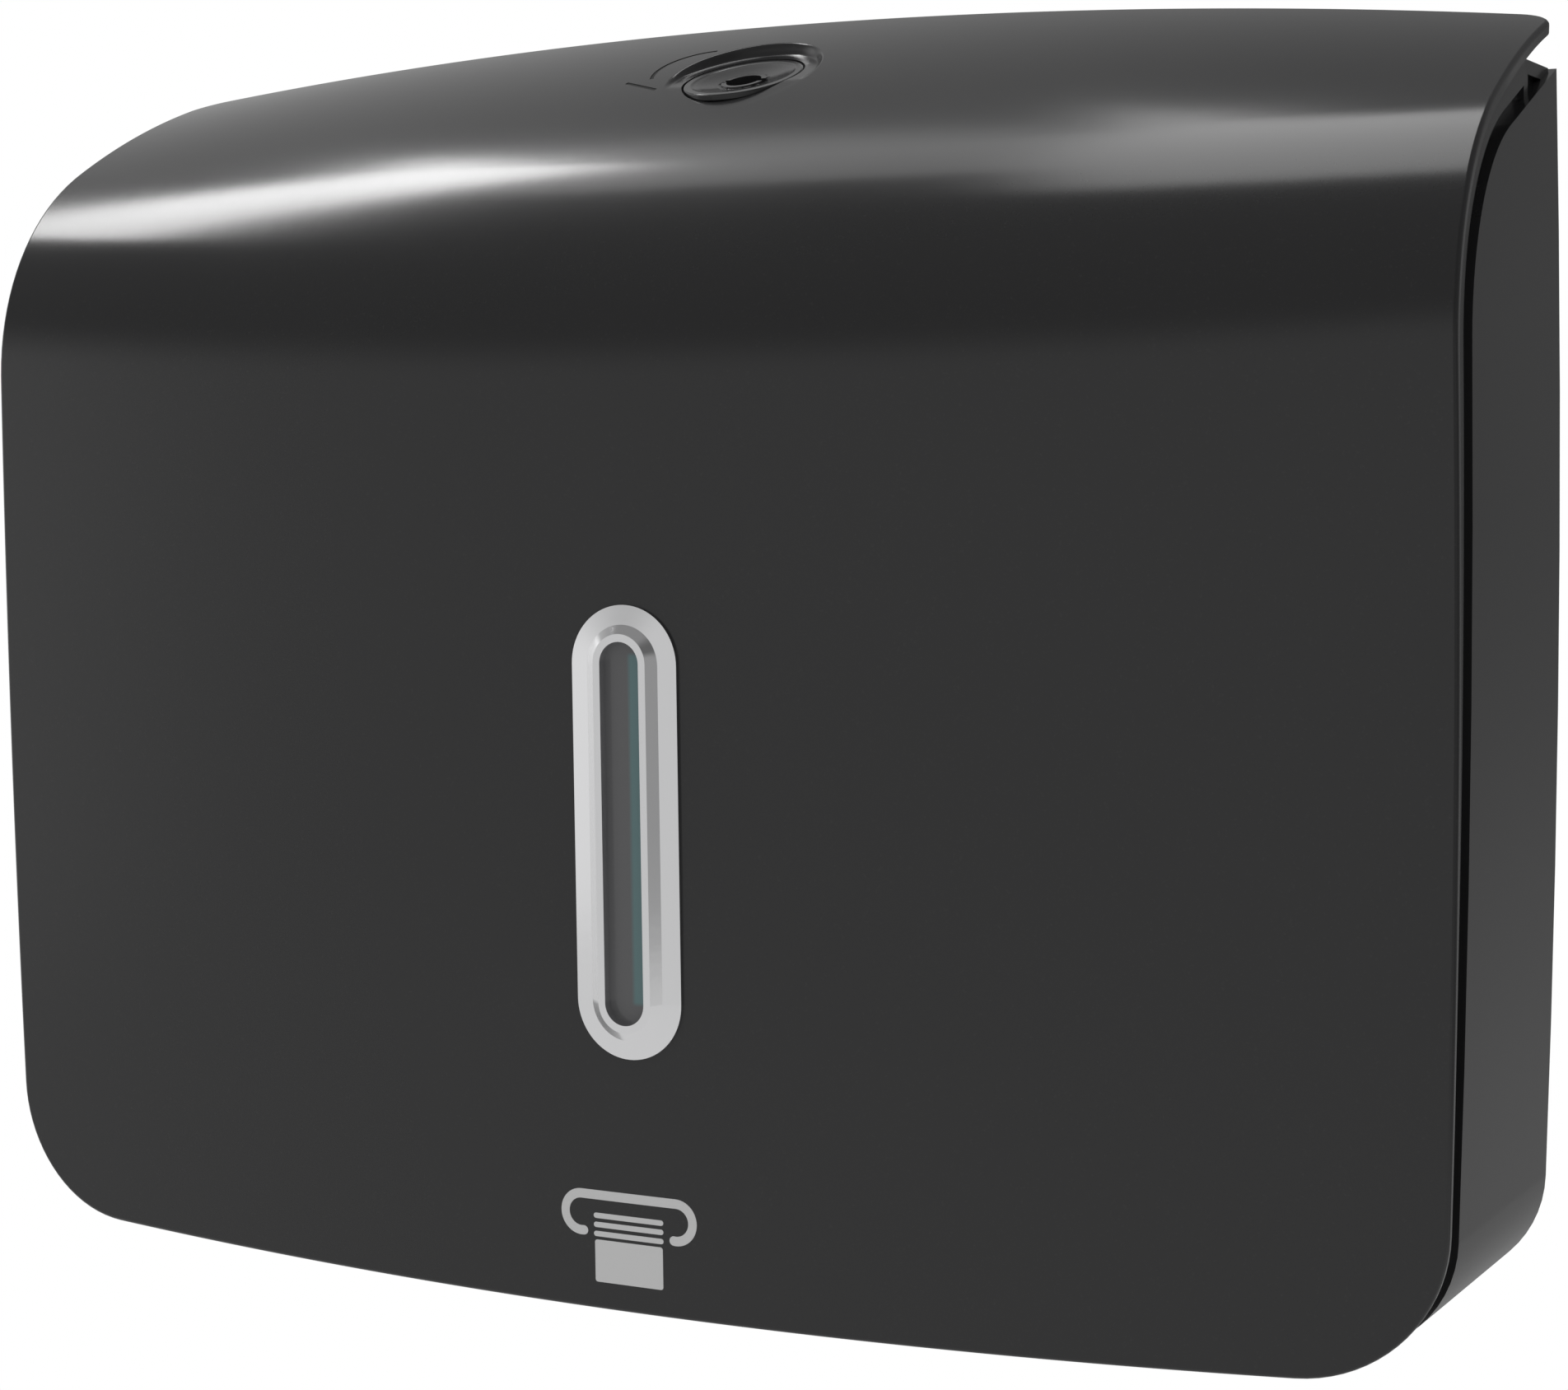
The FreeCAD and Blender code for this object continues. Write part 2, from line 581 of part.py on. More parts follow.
def half_width(width, height, inset="0"):
    """Half the width of a bowed outline at a height."""
    reach = "( side_bow_radius - ( %s ) )" % inset
    arc = "sqrt(%s ^ 2 - ( %s - side_bow_height ) ^ 2)" % (reach, height)
    return "( %s / 2 - side_bow_radius + %s )" % (width, arc)


def inner_face(across, height):
    """Depth of the cover's inner face at a place across and a height, on its straight front."""
    bow = "( mid_front - ( mid_front - side_front ) * ( 2 * ( %s ) / cover_width ) ^ 2 )" % across
    return "( cover_wall / cos(front_lean * 1deg) - %s - %s * tan(front_lean * 1deg) )" % (bow, height)


# Side profile of the case
# An upright front edge, one turn, and a straight slope up to the top of the back wall.

def case_side(name, forward, low, reach="case_width / 2 + tool_reach"):
    """Block across the whole part behind the case's front edge moved forward by a distance."""
    body = doc.addObject("PartDesign::Body", name)
    drawing = drawing_on(body, name + "_profile", "YZ_Plane", "0 - ( %s )" % reach)
    slope = math.radians(size("case_top_slope"))
    out = number(forward)
    front = -size("case_depth") - out
    radius = size("case_turn_radius") + out
    top = size("case_top") + out / math.cos(slope)
    foot = number(low)
    middle_y = front + radius
    middle_z = top + middle_y * math.tan(slope) - radius / math.cos(slope)
    end = (middle_y - radius * math.sin(slope), middle_z + radius * math.cos(slope))
    edge = draw_line(drawing, (front, foot), (front, middle_z))
    turn = draw_arc(drawing, (middle_y, middle_z), radius, math.pi / 2 + slope, math.pi)
    roof = draw_line(drawing, end, (0, top))
    back = draw_line(drawing, (0, top), (0, foot))
    floor = draw_line(drawing, (0, foot), (front, foot))
    smooth(drawing, edge, 2, turn, 2)
    smooth(drawing, turn, 1, roof, 1)
    for ahead, behind in ((roof, back), (back, floor), (floor, edge)):
        drawing.addConstraint(Sketcher.Constraint("Coincident", ahead, 2, behind, 1))
    for upright in (edge, back):
        drawing.addConstraint(Sketcher.Constraint("Vertical", upright))
    drawing.addConstraint(Sketcher.Constraint("Horizontal", floor))
    pin_point(drawing, edge, 1, "0 - case_depth - ( %s )" % forward, low)
    pin_point(drawing, back, 1, "0", "case_top + ( %s ) / cos(case_top_slope * 1deg)" % forward)
    datum(drawing, Sketcher.Constraint("Radius", turn, radius), "case_turn_radius + ( %s )" % forward)
    datum(drawing, Sketcher.Constraint("Angle", roof, slope), "case_top_slope * 1deg")
    pad(body, drawing, "2 * ( %s )" % reach, name + "_pad")
    return body


# Helpers for turned pieces, tilted pieces and screws

def turned(name, corners):
    """Body turned about Z from an outline of radii and heights."""
    body = doc.addObject("PartDesign::Body", name)
    drawing = drawing_on(body, name + "_outline", "XZ_Plane")
    draw_polygon(drawing, corners)
    made = body.newObject("PartDesign::Revolution", name + "_turn")
    made.Profile = drawing
    made.ReferenceAxis = (drawing, ["V_Axis"])
    made.Angle = 360
    return body


def tilt(thing, angle, y, z):
    """Turn a piece towards the viewer about X and put its own origin at a depth and height."""
    thing.Placement = Placement(Vector(), Rotation(Vector(1, 0, 0), size(angle)))
    bind(thing, "Placement.Rotation.Angle", angle)
    place(thing, "0", y, z)
    return thing


RECESS_REACH, RECESS_HALF, RECESS_FLOOR = "0.6", "0.14", "0.45"


def screw(name, radius, head, head_height, length):
    """Screw with its head's underside at the origin, its head up and a cross recess in shares of the head."""
    shank = cylinder(name + "_shank", radius, length, ("0", "0", "0 - ( %s )" % length))
    cap = cylinder(name + "_cap", head, head_height, ("0", "0", "0"))
    whole = fuse(name + "_blank", [shank, cap])
    arm = "( %s * %s )" % (head, RECESS_REACH)
    half = "( %s * %s )" % (head, RECESS_HALF)
    deep = ("( %s * %s )" % (head_height, RECESS_FLOOR), "( %s + tool_past )" % head_height)
    along = box(name + "_recess_along", ("0 - " + arm, arm), ("0 - " + half, half), deep)
    over = box(name + "_recess_over", ("0 - " + half, half), ("0 - " + arm, arm), deep)
    return cut(name, whole, [along, over])


def make_screws(name, spots, radius, head, length, turn):
    """Like screws, one at each spot, as a group of separate solids."""
    made = []
    for i, spot in enumerate(spots):
        one = screw("%s%d" % (name, i), radius, head, "small_head_height", length)
        one.Placement = Placement(Vector(), turn)
        place(one, *spot)
        made.append(one)
    return group(name, made)


def sided(sign, low, high):
    """Pair of places across, on the right or, with a sign of -1, on the left."""
    return (low, high) if sign > 0 else ("0 - ( %s )" % high, "0 - ( %s )" % low)


def on_side(sign, across):
    """One place across, on the right or, with a sign of -1, on the left."""
    return across if sign > 0 else "0 - ( %s )" % across


def crosswise(name, sign, radius, pair, y, z):
    """Cylinder along X between two places across."""
    low, high = sided(sign, *pair)
    return cylinder(name, radius, "( %s ) - ( %s )" % (high, low), (low, y, z), ALONG_X)


SIDES = (("left", -1), ("right", 1))


# Places that several pieces share

SCREW_SPOTS = [(across, rise) for rise in ("0 - screw_rise / 2", "screw_rise / 2")
               for across in ("0 - screw_span / 2", "screw_span / 2")]
TRAY_SPOTS = [(across, "0 - slot_middle %s ( slot_width + tray_flange ) / 2 %s throat_wall" % (side, side))
              for side in ("+", "-") for across in ("0 - tray_screw_place", "tray_screw_place")]
GUIDE_STUDS = ("guide_bottom + guide_stud_inset", "guide_top - guide_stud_inset")
STRIKE_SPOTS = [(sign + "strike_screw_place", "case_top - strike_height / 2") for sign in ("0 - ", "")]
HINGE_LINE = ("0 - hinge_front", "hinge_height")
LUG = ("hinge_place + hinge_gap", "hinge_place + hinge_gap + lug_width")
EAR = ("hinge_place - ear_width", "hinge_place")
BUFFER_SHELF = ("0 - buffer_shelf - buffer_lug_wall", "0 - buffer_shelf")
BUFFER_PLACE = "( case_width / 2 - buffer_inset )"


# Rear case
# One moulding with side walls, floor and back, open at the front and top.

def make_case():
    block = common("case_block",
                   outline_prism("case_outer", case_outline, "0", "0", "case_depth", "case_top"),
                   case_side("case_profile", "0", "0"))
    hollow = outline_prism("case_hollow", case_outline, "case_wall", "case_back", "case_depth + tool_reach")
    shell = cut("case_shell", block, [hollow])
    ring = cut("lip_ring", outline_prism("lip_outer", case_outline, "case_wall", "case_back",
                                         "case_depth + lip_reach + tool_past", "case_top"),
               [outline_prism("lip_inner", case_outline, "case_wall + lip_wall", "0",
                              "case_depth + tool_reach")])
    band = cut("lip_band", case_side("lip_front", "lip_reach", "lip_foot"),
               [case_side("lip_rear", "0 - lip_root", "0", "case_width / 2 + 2 * tool_reach")])
    lip = common("lip", ring, band)
    pieces = [shell, lip]
    ledge_end = half_width("case_width", "case_top", "ledge_inset")
    ledge_span = ("0 - " + ledge_end, ledge_end)
    pieces.append(box("ledge_top", ledge_span, ("0 - ledge_depth", "0 - case_back / 2"),
                      ("case_top - ledge_wall", "case_top")))
    pieces.append(box("ledge_front", ledge_span, ("0 - ledge_depth", "0 - ledge_depth + ledge_wall"),
                      ("case_top - ledge_drop", "case_top - ledge_wall / 2")))
    holes = []
    for i, (across, rise) in enumerate(SCREW_SPOTS):
        height = "origin_rise + " + rise
        pieces.append(cylinder("screw_boss%d" % i, "screw_boss", "screw_boss_depth + case_back / 2",
                               (across, "0 - case_back / 2", height), FORWARD))
        holes.append(cylinder("screw_hole%d" % i, "screw_hole",
                              "case_back + screw_boss_depth + 2 * tool_past",
                              (across, "tool_past", height), FORWARD))
    for i, (across, depth) in enumerate(TRAY_SPOTS):
        pieces.append(cylinder("tray_boss%d" % i, "tray_boss", "tray_boss_drop + case_wall / 2",
                               (across, depth, "case_bottom - tray_boss_drop")))
        holes.append(cylinder("tray_screw_hole%d" % i, "small_screw", "tray_screw_length - tray_plate",
                              (across, depth, "case_bottom + case_wall + tray_plate - tray_screw_length")))
    for side, sign in SIDES:
        y, z = HINGE_LINE
        pieces.append(crosswise("lug_eye_" + side, sign, "hinge_eye", LUG, y, z))
        pieces.append(box("lug_arm_" + side, sided(sign, *LUG), (y, "0 - case_depth + case_wall"),
                          ("hinge_height - hinge_eye", "hinge_height + hinge_eye")))
        pieces.append(box("stop_" + side, sided(sign, EAR[0], LUG[1]),
                          ("0 - hinge_front + hinge_eye + stop_gap", "0 - stop_back"),
                          ("stop_low", "stop_high")))
        holes.append(crosswise("lug_hole_" + side, sign, "hinge_pin + pin_fit",
                               (LUG[0] + " - tool_past", LUG[1] + " + tool_past"), y, z))
        shelf_end = half_width("case_width", "buffer_height", "case_wall + lip_wall / 2")
        pieces.append(box("buffer_shelf_" + side, sided(sign, BUFFER_PLACE + " - buffer_lug", shelf_end),
                          BUFFER_SHELF, ("buffer_height - buffer_lug", "buffer_height + buffer_lug")))
        buffer_end = (on_side(sign, BUFFER_PLACE), BUFFER_SHELF[1] + " + tool_past", "buffer_height")
        holes.append(cylinder("buffer_hole_" + side, "buffer_stem + buffer_fit",
                              "buffer_lug_wall + 2 * tool_past", buffer_end, FORWARD))
        for i, height in enumerate(GUIDE_STUDS):
            place_across = on_side(sign, "guide_place + guide_foot / 2")
            holes.append(cylinder("guide_hole_%s%d" % (side, i), "guide_stud + guide_fit",
                                  "case_back + 2 * tool_past", (place_across, "tool_past", height), FORWARD))
    for i, (across, height) in enumerate(STRIKE_SPOTS):
        holes.append(cylinder("strike_screw_hole%d" % i, "small_screw", "strike_screw_length",
                              (across, "0 - ledge_depth - strike_wall + strike_screw_length", height),
                              FORWARD))
    opening = doc.addObject("PartDesign::Body", "floor_opening")
    drawing = drawing_on(opening, "floor_opening_outline", "XY_Plane", "case_bottom - tool_past")
    draw_stadium(drawing, "slot_width + 2 * ( throat_wall + tray_fit )",
                      "slot_length + 2 * ( throat_wall + tray_fit )", "0 - slot_middle")
    pad(opening, drawing, "case_wall + 2 * tool_past", "floor_opening_pad")
    return cut("rear_case", fuse("case_solid", pieces), holes + [opening])


keep(make_case(), "rear_case")


# Towel tray
# Floor insert with a flange and a rounded throat that the towels come out through.

SAME_HEIGHT = 0.01


def make_tray():
    body = doc.addObject("PartDesign::Body", "tray")
    floor_top = "case_bottom + case_wall"
    flange = drawing_on(body, "tray_flange_outline", "XY_Plane", floor_top)
    draw_stadium(flange, "slot_width + 2 * ( throat_wall + tray_flange )",
                      "slot_length + 2 * ( throat_wall + tray_flange )", "0 - slot_middle")
    pad(body, flange, "tray_plate", "tray_flange_pad")
    throat = drawing_on(body, "throat_outline", "XY_Plane", "case_bottom - throat_drop")
    draw_stadium(throat, "slot_width + 2 * throat_wall", "slot_length + 2 * throat_wall", "0 - slot_middle")
    pad(body, throat, "throat_drop + case_wall + tray_plate", "throat_pad")
    mouth = drawing_on(body, "mouth_outline", "XY_Plane", "case_bottom - throat_drop - tool_past")
    draw_stadium(mouth, "slot_width", "slot_length", "0 - slot_middle")
    bore = pocket(body, mouth, "throat_drop + case_wall + tray_plate + 2 * tool_past", True, "mouth_pocket")
    doc.recompute()
    low, high = number("case_bottom - throat_drop"), number(floor_top + " + tray_plate")
    reach = number("slot_width / 2 + throat_wall / 2")
    edges = []
    for i, edge in enumerate(bore.Shape.Edges, start=1):
        box_of = edge.BoundBox
        off_end = min(abs(box_of.ZMin - low), abs(box_of.ZMin - high))
        level = max(off_end, box_of.ZLength) < SAME_HEIGHT
        from_middle = max(abs(box_of.YMin + size("slot_middle")), abs(box_of.YMax + size("slot_middle")))
        if level and from_middle < reach and box_of.XMax < number("slot_length / 2 + throat_wall / 2"):
            edges.append("Edge%d" % i)
    rounded = body.newObject("PartDesign::Fillet", "mouth_round")
    rounded.Base = (bore, edges)
    bind(rounded, "Radius", "throat_round")
    holes = [cylinder("tray_clear%d" % i, "small_clear", "tray_plate + 2 * tool_past",
                      (across, depth, floor_top + " - tool_past"))
             for i, (across, depth) in enumerate(TRAY_SPOTS)]
    return cut("towel_tray", body, holes)


keep(make_tray(), "towel_tray")
tray_spots = [(across, depth, "case_bottom + case_wall + tray_plate") for across, depth in TRAY_SPOTS]
keep(make_screws("tray_screws", tray_spots, "small_screw", "small_head", "tray_screw_length", UPRIGHT),
     "tray_screws")


# Towel guides
# Upright plates with a foot on the back wall and two studs in its holes.

def make_guide(side, sign):
    back = "0 - case_back"
    height = ("guide_bottom", "guide_top")
    plate = box("guide_plate_" + side, sided(sign, "guide_place", "guide_place + guide_wall"),
                (back + " - guide_depth", back), height)
    foot = box("guide_foot_" + side, sided(sign, "guide_place", "guide_place + guide_foot"),
               (back + " - guide_wall", back), height)
    studs = [cylinder("guide_stud_%s%d" % (side, i), "guide_stud", "case_back - guide_sink",
                      (on_side(sign, "guide_place + guide_foot / 2"), "0 - guide_sink", rise), FORWARD)
             for i, rise in enumerate(GUIDE_STUDS)]
    return fuse("towel_guide_" + side, [plate, foot] + studs)


for side, sign in SIDES:
    keep(make_guide(side, sign), "towel_guide_" + side)


# Rubber buffers
# Each has a head in front of its lug, a stem through it and a barb behind it.

def make_buffer(side, sign):
    across = on_side(sign, BUFFER_PLACE)
    rear, front = BUFFER_SHELF[1], BUFFER_SHELF[0]
    face = inner_face(BUFFER_PLACE + " + buffer_head", "buffer_height")
    reach = "%s - buffer_gap - ( %s )" % (front, face)
    head = cylinder("buffer_head_" + side, "buffer_head", reach,
                    (across, front, "buffer_height"), FORWARD)
    stem = cylinder("buffer_stem_" + side, "buffer_stem", "buffer_lug_wall + buffer_barb",
                    (across, rear + " + buffer_barb", "buffer_height"), FORWARD)
    barb = cone("buffer_barb_" + side, "buffer_tip", "buffer_barb", "buffer_barb",
                (across, rear + " + buffer_barb", "buffer_height"), FORWARD)
    return fuse("cover_buffer_" + side, [head, stem, barb])


for side, sign in SIDES:
    keep(make_buffer(side, sign), "cover_buffer_" + side)


# Lock places
# Depths are measured from the cover's surface along the lock's tilted axis.

DIAL_HEIGHT = top_height("mid", "dial_back")
BOSS_UNDER = "( well_depth + well_wall )"
CAM_TOP = "( %s + spring_rise )" % BOSS_UNDER
CAM_UNDER = "( %s + cam_wall )" % CAM_TOP
FLANGE_UNDER = "( well_depth - dial_gap )"
BOWL_FLOOR = "( bowl_depth - dial_proud )"


def lock_place(up, deep="0"):
    """Depth and height of a point up the slope from the lock's axis and below the cover's surface."""
    y = "( 0 - dial_back + ( %s ) * cos(dial_tilt * 1deg) + ( %s ) * sin(dial_tilt * 1deg) )" % (up, deep)
    z = "( %s + ( %s ) * sin(dial_tilt * 1deg) - ( %s ) * cos(dial_tilt * 1deg) )" % (DIAL_HEIGHT, up, deep)
    return y, z


def on_lock(name, radius, top, bottom):
    """Cylinder on the lock's axis between two depths, standing in the part."""
    made = doc.addObject("Part::Cylinder", name)
    bind(made, "Radius", radius)
    bind(made, "Height", "( %s ) - ( %s )" % (bottom, top))
    return tilt(made, "dial_tilt", *lock_place("0", bottom))


def keep_lock_piece(thing, label):
    """Name a piece drawn about the lock's own axis and stand it in the part."""
    y, z = lock_place("0")
    tilt(thing, "dial_tilt", y, z)
    keep(thing, label, z + " - origin_rise")


# Strike plate
# Plate on the front of the ledge with an arm and the post that the latch hooks behind.

def make_strike():
    body = doc.addObject("PartDesign::Body", "strike")
    front, rear = "0 - ledge_depth - strike_wall", "0 - ledge_depth"
    low, high = "case_top - strike_height", "case_top"
    plate = drawing_on(body, "strike_plate_outline", "YZ_Plane", "0 - strike_half")
    draw_polygon(plate, [(front, low), (rear, low), (rear, high), (front, high)])
    pad(body, plate, "2 * strike_half", "strike_plate_pad")
    inside = "( 0 - ledge_depth - strike_wall / 2 )"
    arm_top = "%s + post_arm_gap" % CAM_UNDER
    arm_low = arm_top + " + post_arm"
    post_top = "%s + post_top_gap" % BOSS_UNDER

    def in_plate(deep):
        climb = "( %s + dial_back ) * tan(dial_tilt * 1deg)" % inside
        return inside, "%s + %s - ( %s ) / cos(dial_tilt * 1deg)" % (DIAL_HEIGHT, climb, deep)

    hook = drawing_on(body, "strike_post_outline", "YZ_Plane", "0 - post_half")
    draw_polygon(hook, [lock_place("post_near", post_top), lock_place("post_near", arm_low),
                        in_plate(arm_low), in_plate(arm_top), lock_place("post_near + post_wall", arm_top),
                        lock_place("post_near + post_wall", post_top)])
    pad(body, hook, "2 * post_half", "strike_post_pad")
    holes = [cylinder("strike_clear%d" % i, "small_clear", "strike_wall + 2 * tool_past",
                      (across, rear + " + tool_past", height), FORWARD)
             for i, (across, height) in enumerate(STRIKE_SPOTS)]
    return cut("strike_plate", body, holes)


keep(make_strike(), "strike_plate")
strike_spots = [(across, "0 - ledge_depth - strike_wall", height) for across, height in STRIKE_SPOTS]
keep(make_screws("strike_screws", strike_spots, "small_screw", "small_head", "strike_screw_length", FORWARD),
     "strike_screws")


# Window places, about the middle of the window on the cover's leaning face

WINDOW_PLACE = ("( 0 - mid_front - window_height * tan(front_lean * 1deg) )", "window_height")
BEZEL_LENGTH = "( pane_length + 2 * bezel_end )"
WINDOW_HOLE = ("bezel_width - 2 * bezel_lap", BEZEL_LENGTH + " - 2 * bezel_lap")
SPIGOT = ("bezel_width - 2 * ( bezel_lap + bezel_fit )", BEZEL_LENGTH + " - 2 * ( bezel_lap + bezel_fit )")
LENS_POCKET = ("pane_width + 2 * lens_seat", "pane_length + 2 * lens_seat")
LENS = (LENS_POCKET[0] + " - 2 * lens_fit", LENS_POCKET[1] + " - 2 * lens_fit")


# Front cover
# One bowed sheet over front and top, with a skirt inside its sides, a boss for the lock and hinge ears.

def make_cover():
    middle_form = cover_form("middle_form", "cover_wall / 2")
    raw = cut("cover_raw", outer_form, [inner_form])
    prism = outline_prism("cover_prism", cover_outline, "0", "cover_rear_gap", "mid_front + tool_reach")
    corner_front = "( cover_rear_gap + cover_rear_corner )"
    top_half = half_width("cover_width", top_height("side", corner_front)) + " + corner_ease"
    corners = []
    for side, sign in SIDES:
        centre = (top_half + " - cover_rear_corner", "0 - cover_rear_gap - cover_rear_corner")
        block = box("rear_corner_block_" + side, sided(sign, centre[0], top_half + " + tool_past"),
                    (centre[1], "0 - cover_rear_gap + tool_past"),
                    ("case_top - tool_past", "case_top + tool_reach"))
        post = cylinder("rear_corner_round_" + side, "cover_rear_corner", "tool_reach + 2 * tool_past",
                        (on_side(sign, centre[0]), centre[1], "case_top - 2 * tool_past"))
        corners.append(cut("rear_corner_" + side, block, [post]))
    trimmed = cut("cover_prism_round", prism, corners)
    sheet = common("cover_sheet", raw, trimmed)
    boss_round = on_lock("lock_boss_round", "well_radius + boss_wall", "0 - tool_past", BOSS_UNDER)
    boss = common("lock_boss", boss_round, middle_form)
    ring = cut("skirt_ring",
               outline_prism("skirt_outer", cover_outline, "skirt_inset", "ledge_depth + skirt_ledge_gap",
                             "mid_front + tool_reach"),
               [outline_prism("skirt_inner", cover_outline, "skirt_inset + skirt_wall", "0",
                              "mid_front + 2 * tool_reach")])
    middle = box("skirt_space", ("0 - skirt_end", "skirt_end"), ("0 - mid_front - tool_reach", "0"),
                 ("0 - form_foot", "case_top + tool_reach"))
    behind = case_side("skirt_rear", "skirt_gap", "0", "cover_width / 2 + tool_reach")
    front_ring = cut("skirt_front", ring, [middle, behind])
    skirt = common("skirt", front_ring, middle_form)
    y, z = HINGE_LINE
    webs = []
    holes = []
    for side, sign in SIDES:
        body = doc.addObject("PartDesign::Body", "ear_web_" + side)
        drawing = drawing_on(body, "ear_web_outline_" + side, "YZ_Plane", sided(sign, *EAR)[0])
        low, high = "hinge_height - hinge_eye", "hinge_height + hinge_eye"
        rise = "hinge_height + ear_rise"
        draw_polygon(drawing, [("0 - mid_front", low), (y, low), (y, high), (y + " - hinge_pin", high),
                               (y + " - hinge_eye", rise), ("0 - mid_front", rise)])
        pad(body, drawing, "ear_width", "ear_web_pad_" + side)
        webs.append(common("ear_web_fit_" + side, body, middle_form))
        webs.append(crosswise("ear_eye_" + side, sign, "hinge_eye", EAR, y, z))
        holes.append(crosswise("ear_hole_" + side, sign, "hinge_pin + pin_run",
                               (EAR[0] + " - tool_past", EAR[1] + " + tool_past"), y, z))
    window = doc.addObject("PartDesign::Body", "window_hole")
    drawing = drawing_on(window, "window_hole_outline", "XZ_Plane", "0 - cover_wall - tool_past")
    draw_stadium(drawing, WINDOW_HOLE[0], WINDOW_HOLE[1])
    pad(window, drawing, "cover_wall + 2 * tool_past", "window_hole_pad")
    tilt(window, "front_lean", *WINDOW_PLACE)
    holes.append(window)
    holes.append(on_lock("lock_well", "well_radius", "0 - tool_past", "well_depth"))
    holes.append(on_lock("lock_hole", "hub_radius + hub_run", "0", BOSS_UNDER + " + tool_past"))
    return cut("front_cover", fuse("cover_solid", [sheet, boss, skirt] + webs), holes)


keep(make_cover(), "front_cover")


# Window
# A chromed bezel from the front, a dark lens behind its slot, and a plate with two screws behind the cover.
# The bezel's own Y runs into the cover from its outer face.

LENS_FACE = "( lens_sink - bezel_rise )"
SPIGOT_END = "( cover_wall + spigot_reach )"
RETAINER_BACK = "( %s + retainer_wall )" % SPIGOT_END
WINDOW_SCREW = "( pane_length + lens_seat + bezel_end - bezel_lap - bezel_fit ) / 2"


def stadium_pad(body, name, width, length, outer, inner):
    """Pad of a stadium between two depths behind the cover's face."""
    drawing = drawing_on(body, name + "_outline", "XZ_Plane", "0 - ( %s )" % inner)
    draw_stadium(drawing, width, length)
    return pad(body, drawing, "( %s ) - ( %s )" % (inner, outer), name + "_pad")


def stadium_tool(name, width, length, outer, inner):
    """Stadium as a body of its own, to cut with."""
    body = doc.addObject("PartDesign::Body", name)
    stadium_pad(body, name, width, length, outer, inner)
    return body


def stadium_loft(body, name, first, second):
    """Sloping band between two stadiums, each given by width, length and depth."""
    drawings = []
    for i, (width, length, deep) in enumerate((first, second)):
        drawing = drawing_on(body, "%s_outline%d" % (name, i), "XZ_Plane", "0 - ( %s )" % deep)
        draw_stadium(drawing, width, length)
        drawings.append(drawing)
    doc.recompute()
    loft = body.newObject("PartDesign::AdditiveLoft", name + "_loft")
    loft.Profile = drawings[0]
    loft.Sections = drawings[1:]
    loft.Ruled = True


def keep_window_piece(thing, label):
    tilt(thing, "front_lean", *WINDOW_PLACE)
    keep(thing, label, WINDOW_PLACE[1] + " - origin_rise")


def make_bezel():
    body = doc.addObject("PartDesign::Body", "bezel_blank")
    stadium_pad(body, "bezel_edge", "bezel_width", BEZEL_LENGTH, "0 - bezel_edge", "0")
    knee = ("bezel_width - 2 * bezel_knee", BEZEL_LENGTH + " - 2 * bezel_knee", "0 - bezel_knee_rise")
    ring = ("pane_width + 2 * bezel_ring", "pane_length + 2 * bezel_ring", "0 - bezel_rise")
    stadium_loft(body, "bezel_flange", ("bezel_width", BEZEL_LENGTH, "0 - bezel_edge"), knee)
    stadium_loft(body, "bezel_wall", knee, ring)
    stadium_pad(body, "bezel_spigot", *SPIGOT, "0", SPIGOT_END)
    tools = [stadium_tool("bezel_slot", "pane_width", "pane_length",
                          "0 - bezel_rise - tool_past", SPIGOT_END + " + tool_past"),
             stadium_tool("bezel_pocket", *LENS_POCKET, LENS_FACE, SPIGOT_END + " + tool_past")]
    for end in ("", "0 - "):
        tools.append(cylinder("bezel_screw_hole", "retainer_screw", "retainer_screw_length - retainer_wall",
                              ("0", SPIGOT_END, end + WINDOW_SCREW), FORWARD))
    return cut("window_bezel", body, tools)


def make_lens():
    body = doc.addObject("PartDesign::Body", "lens")
    stadium_pad(body, "lens", *LENS, LENS_FACE, LENS_FACE + " + lens_wall")
    return body


def make_retainer():
    plate = (WINDOW_HOLE[0] + " + 2 * retainer_lap", WINDOW_HOLE[1] + " + 2 * retainer_lap")
    bow = "( mid_front - side_front ) * ( ( %s ) / cover_width ) ^ 2" % plate[0]
    block = stadium_tool("retainer_block", *plate, "cover_wall + retainer_fit + " + bow, RETAINER_BACK)
    recess = stadium_tool("retainer_recess", *WINDOW_HOLE, "0", SPIGOT_END)
    dish = cut("retainer_dish", block, [recess])
    collar = stadium_tool("retainer_collar", *LENS, LENS_FACE + " + lens_wall",
                          SPIGOT_END + " + retainer_wall / 2")
    tools = [stadium_tool("retainer_slot", "pane_width", "pane_length", "0", RETAINER_BACK + " + tool_past")]
    for end in ("", "0 - "):
        tools.append(cylinder("retainer_clear", "retainer_screw + retainer_screw_fit",
                              "retainer_wall + 2 * tool_past",
                              ("0", RETAINER_BACK + " + tool_past", end + WINDOW_SCREW), FORWARD))
    return cut("window_retainer", fuse("retainer_solid", [dish, collar]), tools)


BACKWARD = Rotation(Vector(1, 0, 0), -90)
keep_window_piece(make_bezel(), "window_bezel")
keep_window_piece(make_lens(), "window_lens")
keep_window_piece(make_retainer(), "window_retainer")
window_spots = [("0", RETAINER_BACK, end + WINDOW_SCREW) for end in ("", "0 - ")]
keep_window_piece(make_screws("retainer_screws", window_spots, "retainer_screw", "retainer_head",
                              "retainer_screw_length", BACKWARD), "retainer_screws")


# Lock
# A dial that turns in the cover's boss, with a spring washer and the latch cam behind it.
# Each piece is drawn about the lock's axis, with 0 at the cover's surface and Z out of it.

